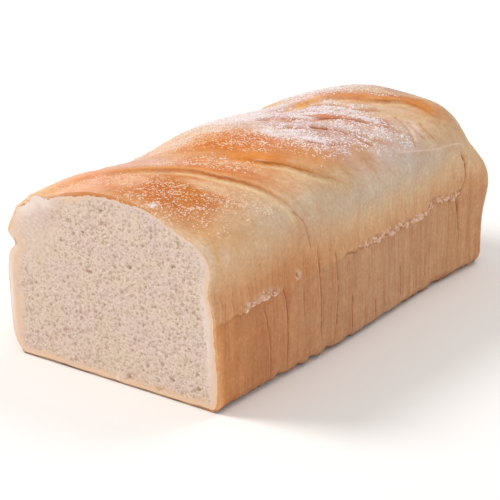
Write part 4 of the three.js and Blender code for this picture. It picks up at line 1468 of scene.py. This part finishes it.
def make_crumb_material(groups):
    material, tree = new_material("white_crumb")
    place = place_on_piece(tree)
    pore = pore_field(place, "ShaderNodeSeparateColor") * attribute(tree, "open")
    grainy = place.noise(900.0, 2.0, 0.7)
    tan = attribute(tree, "tan")
    toasted = use_group(groups["mottle"], {"Value": tan, "Vector": place, "Scale": 300.0, "Amount": 0.2})

    paint = between(place.noise(60.0, 3.0, 0.6).remap(0.36, 0.64), "crumb", "warm crumb")
    paint = mix(attribute(tree, "close") * 0.6, paint, colour("close crumb"))
    # Lighter and darker specks by fine noise: painted highlight and shade of the crumb's fine ridges.
    paint = mix(grainy.remap(0.5, 0.66) * 0.5, paint, colour("crumb highlight"))
    paint = mix(grainy.remap(0.48, 0.34) * 0.3, paint, colour("crumb shade"))
    # Painted shade in the pores and the larger holes, which are also sunk into the cut face.
    pore_colour = between(place.noise(170.0, 1.0).remap(0.42, 0.58), "pore", "olive pore")
    paint = mix(pore * 0.7, paint, pore_colour)
    paint = mix(attribute(tree, "holes") * 0.45, paint, colour("hole"))
    paint = mix(toasted * tan.remap(0.0, 0.2) * 0.85, paint, colour("tan band"))
    paint = mix(attribute(tree, "pale"), paint, colour("pale band"))
    # Painted shade along the valley and the nick round the lobe, where the cut face dips.
    paint = mix(attribute(tree, "valley") * 0.35, paint, colour("valley"))

    grain = use_group(groups["grain"], {"Vector": place, "Scale": 1300.0, "Coarse": 0.6})
    return shade(material, {"Base Color": paint, "Roughness": 0.85, "Specular IOR Level": 0.2},
                 grain - pore * 0.8, 0.4)


def make_flour_material(groups):
    material, tree = new_material("flour")
    place = place_on_piece(tree)
    shade_of = use_group(groups["mottle"], {"Value": 0.5, "Vector": place, "Scale": 300.0, "Amount": 0.8})
    soaked = between(shade_of, "soaked grain low", "soaked grain")
    dry = between(shade_of, "dry grain low", "dry grain")
    paint = mix(axis_of(place, "Y").remap(-0.03, 0.0), soaked, dry)
    return shade(material, {"Base Color": paint, "Roughness": 0.95, "Specular IOR Level": 0.15})


def make_torn_material(groups):
    material, tree = new_material("torn_dough")
    place = place_on_piece(tree)
    shade_of = use_group(groups["mottle"], {"Value": 0.5, "Vector": place, "Scale": 400.0, "Amount": 1.2})
    paint = between(shade_of, "flake low", "flake")
    return shade(material, {"Base Color": paint, "Roughness": 0.85, "Specular IOR Level": 0.2})


# ---- Geometry Nodes ----
def open_tree(name, inputs):
    return open_group("GeometryNodeTree", name, {"Geometry": None, **inputs})


def named(tree, name):
    return put(tree, "GeometryNodeInputNamedAttribute", {"Name": name}, "Attribute", data_type="FLOAT")


def move_points(tree, source, offset):
    moved = put(tree, "GeometryNodeSetPosition", {"Geometry": source["Geometry"], "Offset": offset})
    return close_group(tree, "NodeSocketGeometry", {"Geometry": moved})


def run_tree(piece, tree, values, name):
    """Runs a tree on a piece with the given inputs and returns the result as a plain mesh object."""
    modifier = piece.modifiers.new(tree.name, "NODES")
    sockets = {item.name: item.identifier for item in tree.interface.items_tree if item.in_out == "INPUT"}
    modifier.node_group = tree
    for label, value in values.items():
        modifier[sockets[label]] = value
    graph = bpy.context.evaluated_depsgraph_get()
    mesh = bpy.data.meshes.new_from_object(piece.evaluated_get(graph))
    mesh.name = name
    piece.modifiers.remove(modifier)
    return place_object(name, mesh)


def make_pores_tree():
    """Sinks pores and raises their walls in the crumb, where it is open."""
    tree, source = open_tree("crumb_pores", {"Pore Depth": 0.0, "Roughness": 0.0})
    place = put(tree, "GeometryNodeInputPosition")
    pore = pore_field(place, "FunctionNodeSeparateColor")
    rough = place.noise(300.0, 3.0, 0.6) - 0.5
    depth = (pore * source["Pore Depth"] + rough * source["Roughness"]) * named(tree, "open")
    return move_points(tree, source, combined(Y=depth))


def make_relief_tree():
    """Draws upright streaks into the tin walls, stretch marks into the dome and a grain over all of it."""
    tree, source = open_tree("crust_relief", {
        "Streak Depth": 0.0, "Flute Depth": 0.0, "Stretch Depth": 0.0, "Grain Depth": 0.0, "Tear Depth": 0.0})
    place = put(tree, "GeometryNodeInputPosition")
    rear, seam, streak = named(tree, "rear"), named(tree, "seam"), named(tree, "streak")
    near_seam = seam.remap(-1.5, 0.0) * seam.remap(4.6, 2.0)
    height = (place.noise(260.0, 3.0, 0.6) - 0.5) * source["Grain Depth"]
    for noise, mask, depth in (
            (streak_noise(place, 950.0, rear) - 0.5, streak, "Streak Depth"),
            (streak_noise(place, WIDE_STREAKS, rear) - 0.5, streak, "Streak Depth"),
            (0.0 - upright_grooves(place, rear), named(tree, "flute"), "Flute Depth"),
            (0.5 - stretch_noise(place), named(tree, "stretch"), "Stretch Depth"),
            ((torn_lumps(place) - 0.35) * named(tree, "torn"), near_seam, "Tear Depth")):
        height = height + noise * mask * source[depth]
    lifted = put(tree, "GeometryNodeInputNormal").scaled(height)
    above_floor = axis_of(place, "Z").remap(0.0003, 0.0012)
    return move_points(tree, source, lifted.scaled(above_floor))


def random_vector(source, low, high, salt):
    """A random (x, y, z) for each point, from the tree's seed and a number added to it."""
    inputs = {0: low, 1: high, "Seed": source["Seed"] + salt}
    return put(source["Seed"].tree, "FunctionNodeRandomValue", inputs, data_type="FLOAT_VECTOR")


def grain_cover(tree, source, place, mask, lying):
    """How many grains there are, by a named mask, in patches. Those that lie keep to the torn seam."""
    patchy = place.noise(source["Patch Scale"], 2.0, 0.6).remap(0.4, 0.62)
    cover = named(tree, mask)
    if lying:
        seam = named(tree, "seam")
        cover = cover * seam.remap(-0.9, -0.2) * seam.remap(2.6, 1.2)
    return joined("POWER", cover, 1.5) * patchy * source["Density"]


def grain_size(source):
    """Sizes between the smallest and the largest, with more small ones than large ones."""
    chance = put(source["Seed"].tree, "FunctionNodeRandomValue", {2: 0.0, 3: 1.0, "Seed": source["Seed"]}, 1,
                 data_type="FLOAT")
    size = source["Smallest"] + chance * chance * (source["Largest"] - source["Smallest"])
    uneven = random_vector(source, (0.6, 0.6, 0.5), (1.3, 1.3, 1.0), 7.0)
    shape = combined(X=source["Length"], Y=1.0, Z=source["Flatness"])
    return (uneven * shape).scaled(size)


# Torn flakes lie along the loaf, with their far ends lower
DOWN_THE_SEAM = (0.0, 1.0, -0.45)


def make_scatter_tree(name, mask, material, rings, lying=False):
    """Scatters uneven grains over a surface, as thick as a named mask says; some lie along the loaf."""
    tree, source = open_tree(name, {
        "Density": 0.0, "Smallest": 0.0, "Largest": 0.0, "Length": 0.0, "Flatness": 0.0, "Patch Scale": 0.0,
        "Seed": 0})
    place = put(tree, "GeometryNodeInputPosition")
    thick = grain_cover(tree, source, place, mask, lying)
    dots = put(tree, "GeometryNodeDistributePointsOnFaces", {
        "Mesh": source["Geometry"], "Density": thick, "Seed": source["Seed"]})
    grain = put(tree, "GeometryNodeMeshUVSphere", {"Segments": 5, "Rings": rings, "Radius": 1.0})
    rotation = dots.other("Rotation")
    if lying:
        along = {"Rotation": rotation, "Vector": DOWN_THE_SEAM}
        rotation = put(tree, "FunctionNodeAlignRotationToVector", along, axis="X", pivot_axis="Z")
    turn = 0.35 if lying else math.pi
    spin = random_vector(source, (0, 0, -turn), (0, 0, turn), 3.0)
    turned = put(tree, "FunctionNodeRotateRotation", {0: rotation, 1: spin}, rotation_space="LOCAL")
    grains = put(tree, "GeometryNodeInstanceOnPoints", {
        "Points": dots, "Instance": grain, "Rotation": turned, "Scale": grain_size(source)})
    real = put(tree, "GeometryNodeRealizeInstances", {"Geometry": grains})
    smooth = put(tree, "GeometryNodeSetShadeSmooth", {"Geometry": real})
    done = put(tree, "GeometryNodeSetMaterial", {"Geometry": smooth, "Material": material})
    return close_group(tree, "NodeSocketGeometry", {"Geometry": done})


# ---- Studio ----
CAMERA_PLACE = np.array([555.73, -660.85, 397.25])
CAMERA_RIGHT = Vector((0.80862, 0.58833, -0.00099))
CAMERA_FORWARD = Vector((-0.54876, 0.75363, -0.36180))
CAMERA_LENS = 152.87
SENSOR_WIDTH = 36.0
LIGHTS_AIM = (0, 0, 0.05)
FLOOR_REACH = 3.0


def make_camera():
    data = bpy.data.cameras.new("camera")
    data.lens = CAMERA_LENS
    data.sensor_width = SENSOR_WIDTH
    camera = place_object("camera", data)
    forward = CAMERA_FORWARD.normalized()
    right = (CAMERA_RIGHT - CAMERA_RIGHT.dot(forward) * forward).normalized()
    up = right.cross(forward)
    turn = Matrix((right, up, -forward)).transposed().to_4x4()
    camera.matrix_world = Matrix.Translation(Vector((CAMERA_PLACE - BASE_MIDDLE) * MM)) @ turn
    bpy.context.scene.camera = camera


def make_light(name, place, size, power, tint):
    data = bpy.data.lights.new(name, "AREA")
    data.shape = "DISK"
    data.size = size
    data.energy = power
    data.color = tint
    light = place_object(name, data)
    light.location = place
    light.rotation_euler = (Vector(LIGHTS_AIM) - Vector(place)).to_track_quat("-Z", "Y").to_euler()


def make_studio():
    make_light("key", (-1.5, -0.7, 1.6), 0.9, 32.0, (1.0, 0.98, 0.96))
    make_light("top", (0.3, 1.1, 1.8), 1.2, 11.0, (1.0, 0.99, 0.97))
    make_light("fill", (1.7, -1.5, 0.8), 0.7, 8.4, (1.0, 0.99, 0.98))
    world = bpy.data.worlds.new("studio")
    world.use_nodes = True
    world.node_tree.nodes["Background"].inputs["Color"].default_value = (1.0, 0.99, 0.98, 1.0)
    world.node_tree.nodes["Background"].inputs["Strength"].default_value = 0.5
    bpy.context.scene.world = world
    bpy.context.scene.view_settings.view_transform = "Standard"

    mesh = bpy.data.meshes.new("floor")
    corners = [(x * FLOOR_REACH, y * FLOOR_REACH, 0) for x, y in ((-1, -1), (1, -1), (1, 1), (-1, 1))]
    mesh.from_pydata(corners, [], [(0, 1, 2, 3)])
    material = new_material("pale_floor")[0]
    mesh.materials.append(shade(material, {"Base Color": colour("floor"), "Roughness": 0.9}))
    place_object("floor", mesh)


def take(piece, slot, *nodes):
    """The piece rides with the loaf and may stand for nodes, which are hidden; its slot is not used."""
    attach(piece, "root")
    if nodes:
        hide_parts(*nodes)


def main():
    groups = {"mottle": make_mottle_group(), "line": make_line_group(), "dusting": make_dusting_group(),
              "grain": make_grain_group()}
    make_camera()
    make_studio()

    crust_form = make_crust(make_crust_material(groups))
    crust = run_tree(crust_form, make_relief_tree(), {
        "Streak Depth": 0.0005, "Flute Depth": 0.00025, "Stretch Depth": 0.0006, "Grain Depth": 0.0005,
        "Tear Depth": 0.0019}, "loaf_crust")
    crumb_form = make_crumb(make_crumb_material(groups))
    crumb = run_tree(crumb_form, make_pores_tree(), {
        "Pore Depth": 0.00042, "Roughness": 0.0005}, "loaf_crumb")
    flour = make_flour_material(groups)
    grains = run_tree(crust, make_scatter_tree("flour_grains", "flour", flour, 3), {
        "Density": 2.7e6, "Smallest": 0.00024, "Largest": 0.0006, "Length": 1.0, "Flatness": 0.85,
        "Patch Scale": 260.0, "Seed": 3}, "flour_grains")
    clumps = run_tree(crust, make_scatter_tree("flour_clumps", "flour", flour, 4), {
        "Density": 0.1e6, "Smallest": 0.0004, "Largest": 0.0010, "Length": 1.0, "Flatness": 0.4,
        "Patch Scale": 140.0, "Seed": 5}, "flour_clumps")
    flakes = run_tree(crust, make_scatter_tree("torn_flakes", "torn", make_torn_material(groups), 4, True), {
        "Density": 1.6e6, "Smallest": 0.0003, "Largest": 0.0011, "Length": 1.4, "Flatness": 0.7,
        "Patch Scale": 420.0, "Seed": 9}, "torn_flakes")
    for form in (crust_form, crumb_form):
        bpy.data.objects.remove(form)
    take(crust, "crust", "loaf")
    take(crumb, "crumb", "loaf")
    take(grains, "flour")
    take(clumps, "flour")
    take(flakes, "crumb")


main()
